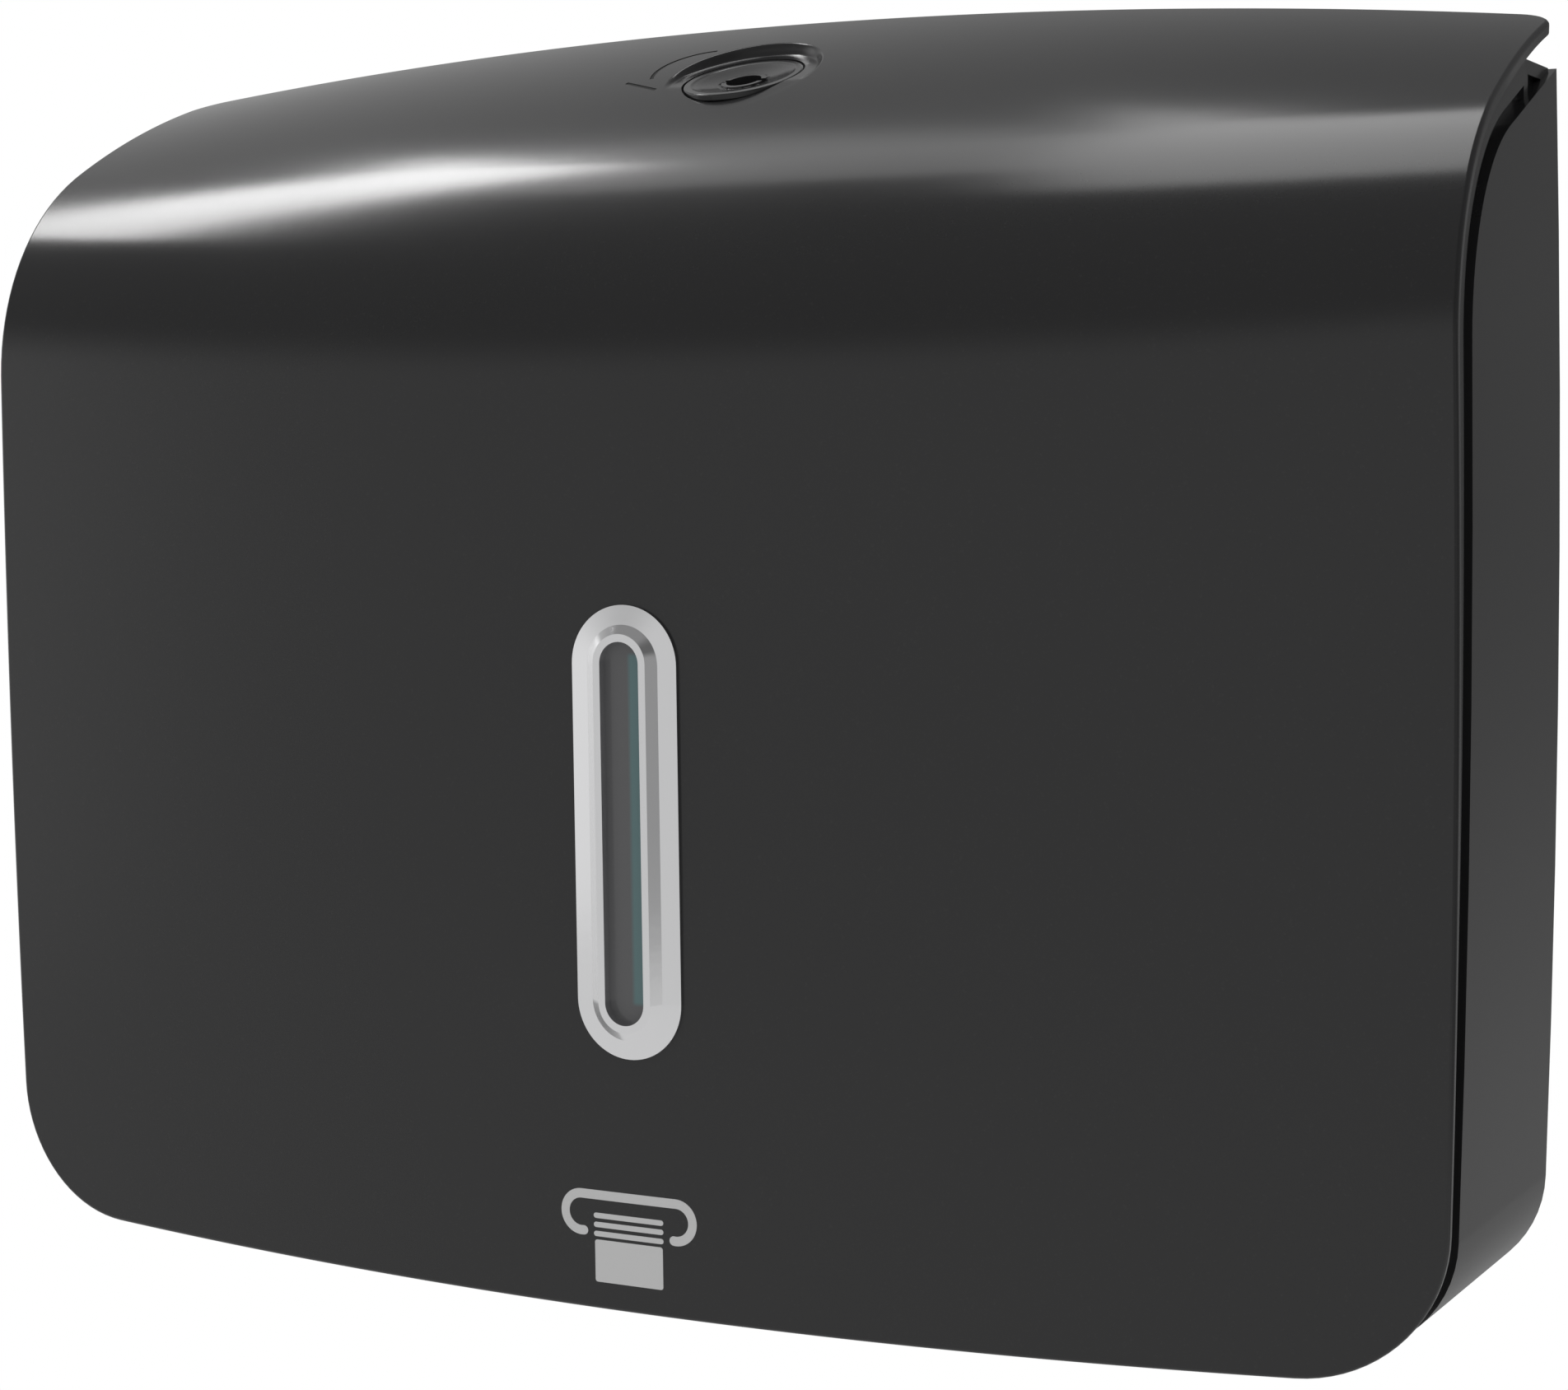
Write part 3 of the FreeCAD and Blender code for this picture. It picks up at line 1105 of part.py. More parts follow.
def make_dial():
    blank = turned("dial_blank", [("0", "0 - " + CAM_TOP), ("hub_radius", "0 - " + CAM_TOP),
                                  ("hub_radius", "0 - " + FLANGE_UNDER),
                                  ("dial_radius", "0 - " + FLANGE_UNDER),
                                  ("dial_radius", "dial_proud"), ("0", "dial_proud")])
    ball = doc.addObject("Part::Sphere", "dial_bowl")
    curve = "( ( ( dial_radius - dial_rim ) ^ 2 + bowl_depth ^ 2 ) / ( 2 * bowl_depth ) )"
    bind(ball, "Radius", curve)
    place(ball, "0", "0", "%s - %s" % (curve, BOWL_FLOOR))
    dished = cut("dial_dished", blank, [ball])
    half = "drive_size / 2"
    square = box("dial_square", ("0 - " + half, half), ("0 - " + half, half),
                 ("0 - " + CAM_UNDER, "0 - " + CAM_TOP))
    lip = cylinder("dial_lip", "socket_radius + socket_lip", "socket_lip_rise + dial_gap",
                   ("0", "0", "0 - %s - dial_gap" % BOWL_FLOOR))
    floor = "0 - %s - socket_depth" % BOWL_FLOOR
    socket = cylinder("dial_socket", "socket_radius", "socket_depth + socket_lip_rise + tool_past",
                      ("0", "0", floor))
    notch = box("dial_notch", ("0 - socket_notch_reach", "socket_notch_reach"),
                ("0 - socket_notch / 2", "socket_notch / 2"), (floor, "dial_proud"))
    bore = cylinder("dial_screw_hole", "small_screw", "cam_screw_length - cam_washer_wall",
                    ("0", "0", "0 - " + CAM_UNDER))
    return cut("lock_dial", fuse("dial_solid", [dished, square, lip]), [socket, notch, bore])


def make_spring():
    low, high = "0 - " + CAM_TOP, "0 - " + BOSS_UNDER
    return turned("lock_spring", [("spring_bore", low), ("spring_radius", high + " - spring_wall"),
                                  ("spring_radius", high), ("spring_bore", low + " + spring_wall")])


def make_cam():
    low = "0 - " + CAM_UNDER
    disc = cylinder("cam_disc_round", "cam_disc", "cam_wall", ("0", "0", low))
    sector = cylinder("cam_hook_sector", "cam_hook_outer", "cam_wall", ("0", "0", low))
    bind(sector, "Angle", "cam_hook_sweep")
    back = size("cam_hook_turn") + size("cam_hook_sweep") / 2
    sector.Placement = Placement(Vector(), Rotation(Vector(0, 0, 1), -back))
    bind(sector, "Placement.Rotation.Angle", "0 - cam_hook_turn - cam_hook_sweep / 2")
    place(sector, "0", "0", low)
    core = cylinder("cam_hook_core", "cam_hook_inner", "cam_wall + 2 * tool_past",
                    ("0", "0", low + " - tool_past"))
    hook = cut("cam_hook", sector, [core])
    arm = doc.addObject("Part::Box", "cam_arm")
    for link, amount in (("Length", "( cam_hook_inner + cam_hook_outer ) / 2"), ("Width", "cam_arm"),
                         ("Height", "cam_wall")):
        bind(arm, link, amount)
    arm.Placement = Placement(Vector(), Rotation(Vector(0, 0, 1), -size("cam_arm_turn")))
    bind(arm, "Placement.Rotation.Angle", "0 - cam_arm_turn")
    place(arm, "0 - cam_arm / 2 * sin(cam_arm_turn * 1deg)",
          "0 - cam_arm / 2 * cos(cam_arm_turn * 1deg)", low)
    half = "drive_size / 2 + drive_fit"
    square = box("cam_square", ("0 - ( %s )" % half, half), ("0 - ( %s )" % half, half),
                 (low + " - tool_past", "tool_past - " + CAM_TOP))
    return cut("lock_cam", fuse("cam_solid", [disc, hook, arm]), [square])


def make_cam_washer():
    low = "0 - %s - cam_washer_wall" % CAM_UNDER
    disc = cylinder("cam_washer_disc", "cam_washer_radius", "cam_washer_wall", ("0", "0", low))
    hole = cylinder("cam_washer_hole", "small_clear", "cam_washer_wall + 2 * tool_past",
                    ("0", "0", low + " - tool_past"))
    return cut("cam_washer", disc, [hole])


OVER = Rotation(Vector(1, 0, 0), 180)
keep_lock_piece(make_dial(), "lock_dial")
keep_lock_piece(make_spring(), "lock_spring_washer")
keep_lock_piece(make_cam(), "lock_cam")
keep_lock_piece(make_cam_washer(), "cam_washer")
cam_spot = [("0", "0", "0 - %s - cam_washer_wall" % CAM_UNDER)]
keep_lock_piece(make_screws("cam_screw", cam_spot, "small_screw", "small_head", "cam_screw_length", OVER),
                "cam_screw")


# Hinge pins and their clips
# Each pin goes in from outside through the case's lug and the cover's ear, and a clip holds its end.
# Along a pin's own axis 0 is the outer face of the lug.

OUTWARD = {1: ALONG_X, -1: Rotation(Vector(0, 1, 0), -90)}
PIN_GRIP = "( lug_width + hinge_gap + ear_width + hinge_gap )"
PIN_END = "( %s + 2 * clip_length )" % PIN_GRIP


def stand_on_hinge(thing, sign):
    thing.Placement = Placement(Vector(), OUTWARD[sign])
    place(thing, on_side(sign, LUG[1]), *HINGE_LINE)
    return thing


def make_pin(side, sign):
    groove = ("0 - %s - clip_length" % PIN_GRIP, "0 - " + PIN_GRIP)
    return turned("pin_" + side, [("0", "0 - " + PIN_END), ("hinge_pin", "0 - " + PIN_END),
                                  ("hinge_pin", groove[0]), ("clip_groove", groove[0]),
                                  ("clip_groove", groove[1]),
                                  ("hinge_pin", groove[1]), ("hinge_pin", "0"), ("pin_head", "0"),
                                  ("pin_head", "pin_head_length"), ("0", "pin_head_length")])


def make_clip(side, sign):
    low = "0 - %s - clip_length" % PIN_GRIP
    ring = cylinder("clip_ring_" + side, "clip_radius", "clip_length", ("0", "0", low))
    hole = cylinder("clip_hole_" + side, "clip_groove", "clip_length + 2 * tool_past",
                    ("0", "0", low + " - tool_past"))
    mouth = box("clip_mouth_" + side, ("0", "clip_radius + tool_past"), ("0 - clip_groove", "clip_groove"),
                (low + " - tool_past", low + " + clip_length + tool_past"))
    return cut("clip_" + side, ring, [hole, mouth])


for side, sign in SIDES:
    pin = stand_on_hinge(make_pin(side, sign), sign)
    keep(pin, "hinge_pin_" + side, HINGE_LINE[1] + " - origin_rise")
clips = group("clips", [stand_on_hinge(make_clip(side, sign), sign) for side, sign in SIDES])
keep(clips, "hinge_clips")


# Check every object and write each piece

doc.recompute()
for thing in doc.Objects:
    if "Invalid" in thing.State or "Error" in thing.State:
        raise RuntimeError("%s failed: %s" % (thing.Name, thing.getStatusString()))
for thing in nodes:
    if thing.Shape.isNull() or not thing.Shape.isValid() or not thing.Shape.Solids:
        raise RuntimeError("%s has no valid solid" % thing.Label)
os.makedirs("parts", exist_ok=True)
for thing in nodes:
    thing.Shape.exportStep("parts/%s.step" % thing.Label)
    print(thing.Label, len(thing.Shape.Solids), round(thing.Shape.Volume, 1))
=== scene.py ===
import math

import bmesh
import bpy
import numpy as np
from mathutils import Matrix, Vector
from mathutils.geometry import delaunay_2d_cdt
from mathutils.kdtree import KDTree


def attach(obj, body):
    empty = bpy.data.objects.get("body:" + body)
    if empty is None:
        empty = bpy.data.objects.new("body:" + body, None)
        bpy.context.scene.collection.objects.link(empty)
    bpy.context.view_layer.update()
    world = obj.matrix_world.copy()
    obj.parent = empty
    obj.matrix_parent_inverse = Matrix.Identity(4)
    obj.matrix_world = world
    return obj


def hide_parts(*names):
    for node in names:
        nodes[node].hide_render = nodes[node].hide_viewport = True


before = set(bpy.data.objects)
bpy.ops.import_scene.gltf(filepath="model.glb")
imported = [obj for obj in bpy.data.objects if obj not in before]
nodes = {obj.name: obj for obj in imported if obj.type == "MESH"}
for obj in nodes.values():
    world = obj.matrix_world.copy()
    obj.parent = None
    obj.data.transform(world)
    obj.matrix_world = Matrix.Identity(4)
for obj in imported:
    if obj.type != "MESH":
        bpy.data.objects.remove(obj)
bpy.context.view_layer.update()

mm = 0.001


# Rear case
# The shell that hangs on the wall by four screws, moulded in one piece in gloss black plastic.
# Its ledge, lugs and floor carry the other pieces. The marks that all the finishes share are made here.

blotch_scale, speck_scale = 23.0, 1900.0
speck_start, speck_full = 0.62, 0.78


def arithmetic(tree, operation, first, second):
    """Output of a math node, for sockets or plain numbers."""
    made = tree.nodes.new("ShaderNodeMath")
    made.operation = operation
    for socket, value in zip(made.inputs, (first, second)):
        if isinstance(value, (int, float)):
            socket.default_value = value
        else:
            tree.links.new(value, socket)
    return made.outputs[0]


def marks_group():
    """Fine texture, soft smudges and settled dust, for any finish."""
    group = bpy.data.node_groups.new("surface_marks", "ShaderNodeTree")
    sockets = group.interface
    for name, start in (("Roughness", 0.3), ("Smudges", 0.05), ("Texture per metre", 400.0), ("Dust", 0.1)):
        sockets.new_socket(name, in_out="INPUT", socket_type="NodeSocketFloat").default_value = start
    for name in ("Roughness", "Height", "Dust"):
        sockets.new_socket(name, in_out="OUTPUT", socket_type="NodeSocketFloat")
    make, wire = group.nodes.new, group.links.new
    given, result = make("NodeGroupInput"), make("NodeGroupOutput")
    coordinates = make("ShaderNodeTexCoord")

    def noise(scale, detail):
        made = make("ShaderNodeTexNoise")
        made.inputs["Scale"].default_value = scale
        made.inputs["Detail"].default_value = detail
        wire(coordinates.outputs["Object"], made.inputs["Vector"])
        return made

    smudge = noise(blotch_scale, detail=5.0)
    centred = arithmetic(group, "SUBTRACT", smudge.outputs["Fac"], 0.5)
    swing = arithmetic(group, "MULTIPLY", centred, given.outputs["Smudges"])
    wire(arithmetic(group, "ADD", given.outputs["Roughness"], swing), result.inputs["Roughness"])
    fine = noise(1.0, detail=2.0)
    wire(given.outputs["Texture per metre"], fine.inputs["Scale"])
    wire(fine.outputs["Fac"], result.inputs["Height"])
    specks = noise(speck_scale, detail=1.0)
    ramp = make("ShaderNodeMapRange")
    ramp.inputs["From Min"].default_value = speck_start
    ramp.inputs["From Max"].default_value = speck_full
    wire(specks.outputs["Fac"], ramp.inputs["Value"])
    wire(arithmetic(group, "MULTIPLY", ramp.outputs["Result"], given.outputs["Dust"]), result.inputs["Dust"])
    return group


surface_marks = marks_group()
dust_colour = (0.35, 0.34, 0.32, 1.0)


def finish(name, colour, roughness, smudges, texture, depth, dust, metallic=0.0, **sockets):
    """Material with the shared marks: texture in bumps a metre, its depth in metres."""
    made = bpy.data.materials.new(name)
    made.use_nodes = True
    make, wire = made.node_tree.nodes.new, made.node_tree.links.new
    shader = made.node_tree.nodes["Principled BSDF"]
    shader.inputs["Metallic"].default_value = metallic
    for socket, value in sockets.items():
        shader.inputs[socket.replace("_", " ")].default_value = value
    marks = make("ShaderNodeGroup")
    marks.node_tree = surface_marks
    for socket, value in (("Roughness", roughness), ("Smudges", smudges), ("Texture per metre", texture),
                          ("Dust", dust)):
        marks.inputs[socket].default_value = value
    wire(marks.outputs["Roughness"], shader.inputs["Roughness"])
    mix = make("ShaderNodeMix")
    mix.data_type = "RGBA"
    mix.inputs["A"].default_value = (*colour, 1.0)
    mix.inputs["B"].default_value = dust_colour
    wire(marks.outputs["Dust"], mix.inputs["Factor"])
    wire(mix.outputs["Result"], shader.inputs["Base Color"])
    bump = make("ShaderNodeBump")
    bump.inputs["Distance"].default_value = depth
    wire(marks.outputs["Height"], bump.inputs["Height"])
    wire(bump.outputs["Normal"], shader.inputs["Normal"])
    return made


def dress(node, material):
    """Give a carried-over piece its finish."""
    nodes[node].data.materials.clear()
    nodes[node].data.materials.append(material)


gloss_black = finish("gloss_black_plastic", (0.015, 0.015, 0.0155), roughness=0.17, smudges=0.05,
                     texture=220.0, depth=0.006 * mm, dust=0.015, IOR=1.49)
dress("rear_case", gloss_black)


# Towel tray and its screws
# An insert of grey plastic on the case's floor, with a rounded throat that the towel leaves by.
# Four screws of plated steel hold it there.

inner_grey = finish("inner_plastic", (0.16, 0.16, 0.165), roughness=0.45, smudges=0.08,
                    texture=1100.0, depth=0.02 * mm, dust=0.12)
bright_steel = finish("bright_steel", (0.56, 0.55, 0.53), roughness=0.28, smudges=0.12,
                      texture=1500.0, depth=0.004 * mm, dust=0.04, metallic=1.0)
dress("towel_tray", inner_grey)
dress("tray_screws", bright_steel)


# Towel guides
# Upright plates of grey plastic that centre the stack of towels.
# Each has two studs that are fixed in holes in the back wall.

for side in ("left", "right"):
    dress("towel_guide_" + side, inner_grey)


# Cover buffers
# Stops of soft black rubber for the shut cover, each with its stem pushed through a lug in the case.
# A barb behind the lug keeps it in.

buffer_rubber = finish("buffer_rubber", (0.03, 0.03, 0.03), roughness=0.75, smudges=0.05,
                       texture=1800.0, depth=0.03 * mm, dust=0.25)
for side in ("left", "right"):
    dress("cover_buffer_" + side, buffer_rubber)


# Strike plate and its screws
# A bent plate of plated steel on the case's ledge, held by two screws.
# The latch hooks behind its post.

dress("strike_plate", bright_steel)
dress("strike_screws", bright_steel)


# Front cover
# One bowed sheet of gloss black plastic over front and top, with rounded edges, an inner skirt at the
# sides, a recess for the lock and two hinge ears. Heights here count from its bottom edge.

origin_rise = 123.0 * mm
cover_width = 300.0 * mm
cover_wall = 2.5 * mm
rim_round = 0.9 * mm
rim_inner_round = 0.4 * mm
front_lean = math.radians(1.1)
outline_step = 2.6 * mm
outer_step, inner_step = (5.0 * mm, 3.0 * mm), (7.0 * mm, 4.0 * mm)
join_within, flat_tolerance, least_area = 0.002 * mm, 1e-6, 1e-30
form_foot = 12.0 * mm
form_end_slope = math.radians(8.0)
middle_profile = dict(front=80.5 * mm, straight=166.7 * mm, turn_radius=55.7 * mm,
                      knee=math.radians(40.0), top_radius=176.8 * mm)
side_profile = dict(front=73.1 * mm, straight=172.3 * mm, turn_radius=48.2 * mm,
                    knee=math.radians(30.0), top_radius=186.0 * mm)
side_bow_radius = 3500.0 * mm
side_bow_height = 109.0 * mm
bottom_bow_radius = 2706.0 * mm
cover_corner = 26.8 * mm
rear_corner = 6.5 * mm
rear_gap = 10.2 * mm


def profile(travel, front, straight, turn_radius, knee, top_radius):
    """Depth and height along a side profile: 0 to 1 up the front, to 2 round the turn, to 3 over the top."""
    upright = math.pi / 2 + front_lean
    foot = np.array([-front + form_foot * math.tan(front_lean), -form_foot])
    bend = np.array([-front - straight * math.tan(front_lean), straight])
    turn_middle = bend + turn_radius * np.array([math.sin(upright), -math.cos(upright)])
    growth = top_radius - turn_radius
    top_middle = turn_middle + growth * np.array([math.sin(knee), -math.cos(knee)])
    travel = np.asarray(travel, float)[..., None]
    wall = foot + (bend - foot) * np.clip(travel, 0, 1)
    slope = upright + (knee - upright) * np.clip(travel - 1, 0, 1)
    turn = turn_middle + turn_radius * np.concatenate([-np.sin(slope), np.cos(slope)], -1)
    slope = knee + (form_end_slope - knee) * np.clip(travel - 2, 0, 1)
    top = top_middle + top_radius * np.concatenate([-np.sin(slope), np.cos(slope)], -1)
    return np.where(travel < 1, wall, np.where(travel < 2, turn, top))


front_length = (middle_profile["straight"] + form_foot) / math.cos(front_lean)
turn_length = middle_profile["turn_radius"] * (math.pi / 2 + front_lean - middle_profile["knee"])
top_length = middle_profile["top_radius"] * (middle_profile["knee"] - form_end_slope)
milestones = np.cumsum([0.0, front_length, turn_length, top_length])


def skin(x, s, deep=0.0):
    """Points of the cover's surface, or of one a depth inside it, at places across and along the sheet."""
    x, s = np.broadcast_arrays(np.asarray(x, float), np.asarray(s, float))

    def outer(x, s):
        travel = np.interp(s, milestones, [0, 1, 2, 3])
        middle = profile(travel, **middle_profile)
        side = profile(travel, **side_profile)
        place = middle + (side - middle) * ((2 * x / cover_width) ** 2)[..., None]
        return np.stack([x, place[..., 0], place[..., 1] - origin_rise], -1)

    small = 0.05 * mm
    across = outer(x + small, s) - outer(x - small, s)
    along = outer(x, s + small) - outer(x, s - small)
    normal = np.cross(across, along)
    normal /= np.linalg.norm(normal, axis=-1, keepdims=True)
    return outer(x, s) - normal * deep, normal


def solve(goal, low, high):
    """Where a rising function of s crosses 0, for each member of an array."""
    halvings = 44
    low, high = np.array(low, float), np.array(high, float)
    for _ in range(halvings):
        middle = (low + high) / 2
        under = goal(middle) < 0
        low = np.where(under, middle, low)
        high = np.where(under, high, middle)
    return (low + high) / 2


def half_width(z):
    """Half the cover's width at a height."""
    return cover_width / 2 - side_bow_radius + np.sqrt(side_bow_radius ** 2 - (z - side_bow_height) ** 2)


def cover_outline(step):
    """Edge of the sheet as places across and along it, round from the middle of the bottom."""
    across_middle = cover_width / 2 - side_bow_radius
    near, far = side_bow_radius - cover_corner, bottom_bow_radius - cover_corner
    gap = math.hypot(across_middle, bottom_bow_radius - side_bow_height)
    along = (near ** 2 - far ** 2 + gap ** 2) / (2 * gap)
    over = math.sqrt(near ** 2 - along ** 2)
    unit = np.array([-across_middle, bottom_bow_radius - side_bow_height]) / gap
    corner = (np.array([across_middle, side_bow_height]) + along * unit
              + over * np.array([unit[1], -unit[0]]))
    low_angle = math.atan2(corner[1] - bottom_bow_radius, corner[0])
    side_angle = math.atan2(corner[1] - side_bow_height, corner[0] - across_middle)

    def by_height(x, z):
        low, high = np.zeros_like(x), np.full_like(x, milestones[2])
        s = solve(lambda s: skin(x, s)[0][..., 2] + origin_rise - z, low, high)
        return np.stack([x, s], -1)

    def by_depth(x, y):
        low, high = np.full_like(x, milestones[1]), np.full_like(x, milestones[3])
        s = solve(lambda s: skin(x, s)[0][..., 1] - y, low, high)
        return np.stack([x, s], -1)

    count = int(corner[0] / step)
    angle = np.linspace(-math.pi / 2, low_angle, count)
    bottom = by_height(bottom_bow_radius * np.cos(angle), bottom_bow_radius * (1 + np.sin(angle)))
    angle = np.linspace(low_angle, side_angle, int(cover_corner * 2 / step))[1:]
    turn = by_height(corner[0] + cover_corner * np.cos(angle), corner[1] + cover_corner * np.sin(angle))
    back = -rear_gap - rear_corner
    top_half = cover_width / 2
    # a side's place and its height depend on each other, so they are found in turns
    rounds = 6
    for _ in range(rounds):
        s = by_depth(np.array([top_half]), np.array([back]))[0, 1]
        top_half = half_width(skin(top_half, s)[0][2] + origin_rise)
    s = np.linspace(turn[-1, 1], s, int((s - turn[-1, 1]) / step))[1:]
    x = np.full_like(s, cover_width / 2)
    for _ in range(rounds):
        x = half_width(skin(x, s)[0][..., 2] + origin_rise)
    side = np.stack([x, s], -1)
    rear_points = 10
    angle = np.linspace(0, math.pi / 2, rear_points)[1:]
    rear = by_depth(top_half - rear_corner + rear_corner * np.cos(angle), back + rear_corner * np.sin(angle))
    x = np.linspace(top_half - rear_corner, 0, count)[1:]
    edge = by_depth(x, np.full_like(x, -rear_gap))
    right = np.concatenate([bottom, turn, side, rear, edge])
    left = right[-2:0:-1] * [-1, 1]
    return np.concatenate([right, left])


def outward(loop):
    """Unit direction out of an anticlockwise loop at each of its points."""
    tangent = np.roll(loop, -1, 0) - np.roll(loop, 1, 0)
    tangent /= np.linalg.norm(tangent, axis=1, keepdims=True)
    return np.stack([tangent[:, 1], -tangent[:, 0]], -1)


def inset(loop, by):
    """The loop moved inwards."""
    return loop - outward(loop) * by


def inside(points, loop):
    """Which points lie in a closed loop."""
    a, b = loop, np.roll(loop, -1, 0)
    px, py = points[:, 0, None], points[:, 1, None]
    crosses = (a[:, 1] > py) != (b[:, 1] > py)
    run = np.where(b[:, 1] == a[:, 1], 1.0, b[:, 1] - a[:, 1])
    at = a[:, 0] + (py - a[:, 1]) * (b[:, 0] - a[:, 0]) / run
    return (np.sum(crosses & (px < at), 1) % 2).astype(bool)


def search_tree(points):
    tree = KDTree(len(points))
    for i, point in enumerate(points):
        tree.insert(point, i)
    tree.balance()
    return tree


def fill(rim, holes=(), step=None):
    """Triangles of a flat region between a rim and its holes, with a grid of points where a step is given."""
    clear_share = 0.45
    loops = [rim, *holes]
    points = np.concatenate(loops)
    edges = []
    start = 0
    for loop in loops:
        count = len(loop)
        edges += [(start + i, start + (i + 1) % count) for i in range(count)]
        start += count
    if step:
        low, high = rim.min(0), rim.max(0)
        across = np.arange(low[0], high[0], step[0])
        along = np.arange(low[1], high[1], step[1])
        grid = np.stack(np.meshgrid(across, along), -1).reshape(-1, 2)
        keep = inside(grid, rim)
        for hole in holes:
            keep &= ~inside(grid, hole)
        grid = grid[keep]
        tree = search_tree([(*point, 0) for point in points])
        far = [tree.find((*point, 0))[2] > clear_share * min(step) for point in grid]
        points = np.concatenate([points, grid[far]])
    flat = [Vector(point / mm) for point in points]
    made, _, triangles, origins, _, _ = delaunay_2d_cdt(flat, edges, [], 0, flat_tolerance)
    places = np.array([points[origin[0]] if origin else np.array(spot) * mm
                       for spot, origin in zip(made, origins)])
    triangles = np.array(triangles)
    corners = places[triangles]
    middles = corners.mean(1)
    keep = inside(middles, rim)
    for hole in holes:
        keep &= ~inside(middles, hole)
    one, two = corners[:, 1] - corners[:, 0], corners[:, 2] - corners[:, 0]
    turned = one[:, 0] * two[:, 1] - one[:, 1] * two[:, 0] < 0
    triangles[turned] = triangles[turned][:, ::-1]
    return places, triangles[keep]


def add_object(name, data):
    made = bpy.data.objects.new(name, data)
    bpy.context.scene.collection.objects.link(made)
    return made


class Shell:
    """Faces of one piece, each with its corners' places and, unless it is flat, their normals."""

    def __init__(self):
        self.corners, self.normals, self.sizes = [], [], []

    def face(self, places, normals=None):
        places = np.asarray(places, float)
        if normals is None:
            flat = np.zeros(3)
            for i in range(1, len(places) - 1):
                flat += np.cross(places[i] - places[0], places[i + 1] - places[0])
            normals = np.tile(flat / max(np.linalg.norm(flat), least_area), (len(places), 1))
        self.corners.append(places)
        self.normals.append(np.asarray(normals))
        self.sizes.append(len(places))

    def strip(self, first, second, first_normals=None, second_normals=None, closed=True):
        """Quads from one row of points to the next."""
        count = len(first)
        for i in range(count if closed else count - 1):
            j = (i + 1) % count
            normals = None
            if first_normals is not None:
                normals = [first_normals[i], first_normals[j], second_normals[j], second_normals[i]]
            self.face([first[i], first[j], second[j], second[i]], normals)

    def surface(self, places, normals, triangles, turned=False):
        for triangle in triangles:
            order = triangle[::-1] if turned else triangle
            self.face(places[order], None if normals is None else normals[order] * (-1 if turned else 1))

    def make(self, name, material):
        """Object with like points joined and the normals kept."""
        points = np.concatenate(self.corners)
        tree = search_tree(points)
        joined = np.full(len(points), -1)
        spots = []
        for i, point in enumerate(points):
            if joined[i] < 0:
                for _, j, _ in tree.find_range(point, join_within):
                    if joined[j] < 0:
                        joined[j] = len(spots)
                spots.append(point)
        faces, normals = [], []
        start = 0
        for count, given in zip(self.sizes, self.normals):
            corners = joined[start:start + count]
            start += count
            kept = [i for i in range(count) if corners[i] != corners[i - 1]]
            if len(kept) > 2 and len(set(corners[kept])) == len(kept):
                faces.append([int(corners[i]) for i in kept])
                normals.append(given[kept])
        mesh = bpy.data.meshes.new(name)
        mesh.from_pydata(spots, [], faces)
        mesh.shade_smooth()
        mesh.normals_split_custom_set(np.concatenate(normals).tolist())
        mesh.materials.append(material)
        return add_object(name, mesh)


cover = Shell()
outline = cover_outline(outline_step)

# the rounded rim, from the outer skin over the edge to the inner skin
outer_rim = inset(outline, rim_round)
edge_out = outward(outline)
top_ring, top_normal = skin(*outer_rim.T)
side_way = skin(*(outer_rim + edge_out * mm).T)[0] - top_ring
side_way /= np.linalg.norm(side_way, axis=1, keepdims=True)
outer_turns, inner_turns = 6, 4
inner_shift = rim_round - rim_inner_round
rings = []
for angle in np.linspace(0, math.pi / 2, outer_turns):
    way = top_normal * math.cos(angle) + side_way * math.sin(angle)
    rings.append((top_ring - top_normal * rim_round + way * rim_round, way))
inner_centre = top_ring + side_way * inner_shift - top_normal * (cover_wall - rim_inner_round)
for angle in np.linspace(math.pi / 2, math.pi, inner_turns):
    way = top_normal * math.cos(angle) + side_way * math.sin(angle)
    rings.append((inner_centre + way * rim_inner_round, way))
inner_rim = outer_rim + edge_out * inner_shift
rings[-1] = (skin(*inner_rim.T, cover_wall)[0], -top_normal)
for (upper, upper_way), (lower, lower_way) in zip(rings, rings[1:]):
    cover.strip(lower, upper, lower_way, upper_way)

# the window's hole through the front
window_height = 88.6 * mm
window_s = (window_height + form_foot) / math.cos(front_lean)
pane_length = 69.6 * mm
bezel_width, bezel_end, bezel_lap = 21.6 * mm, 6.5 * mm, 1.5 * mm
bezel_length = pane_length + 2 * bezel_end


def stadium(width, length, count=16):
    """Upright slot outline with round ends, anticlockwise."""
    angle = np.linspace(0, math.pi, count)
    top = np.stack([np.cos(angle), np.sin(angle)], -1) * width / 2
    top[:, 1] += (length - width) / 2
    return np.concatenate([top, -top])


window_hole = stadium(bezel_width - 2 * bezel_lap, bezel_length - 2 * bezel_lap) + [0, window_s]
hole_outer, _ = skin(*window_hole.T)
hole_inner, _ = skin(*window_hole.T, cover_wall)
cover.strip(hole_outer, hole_inner)

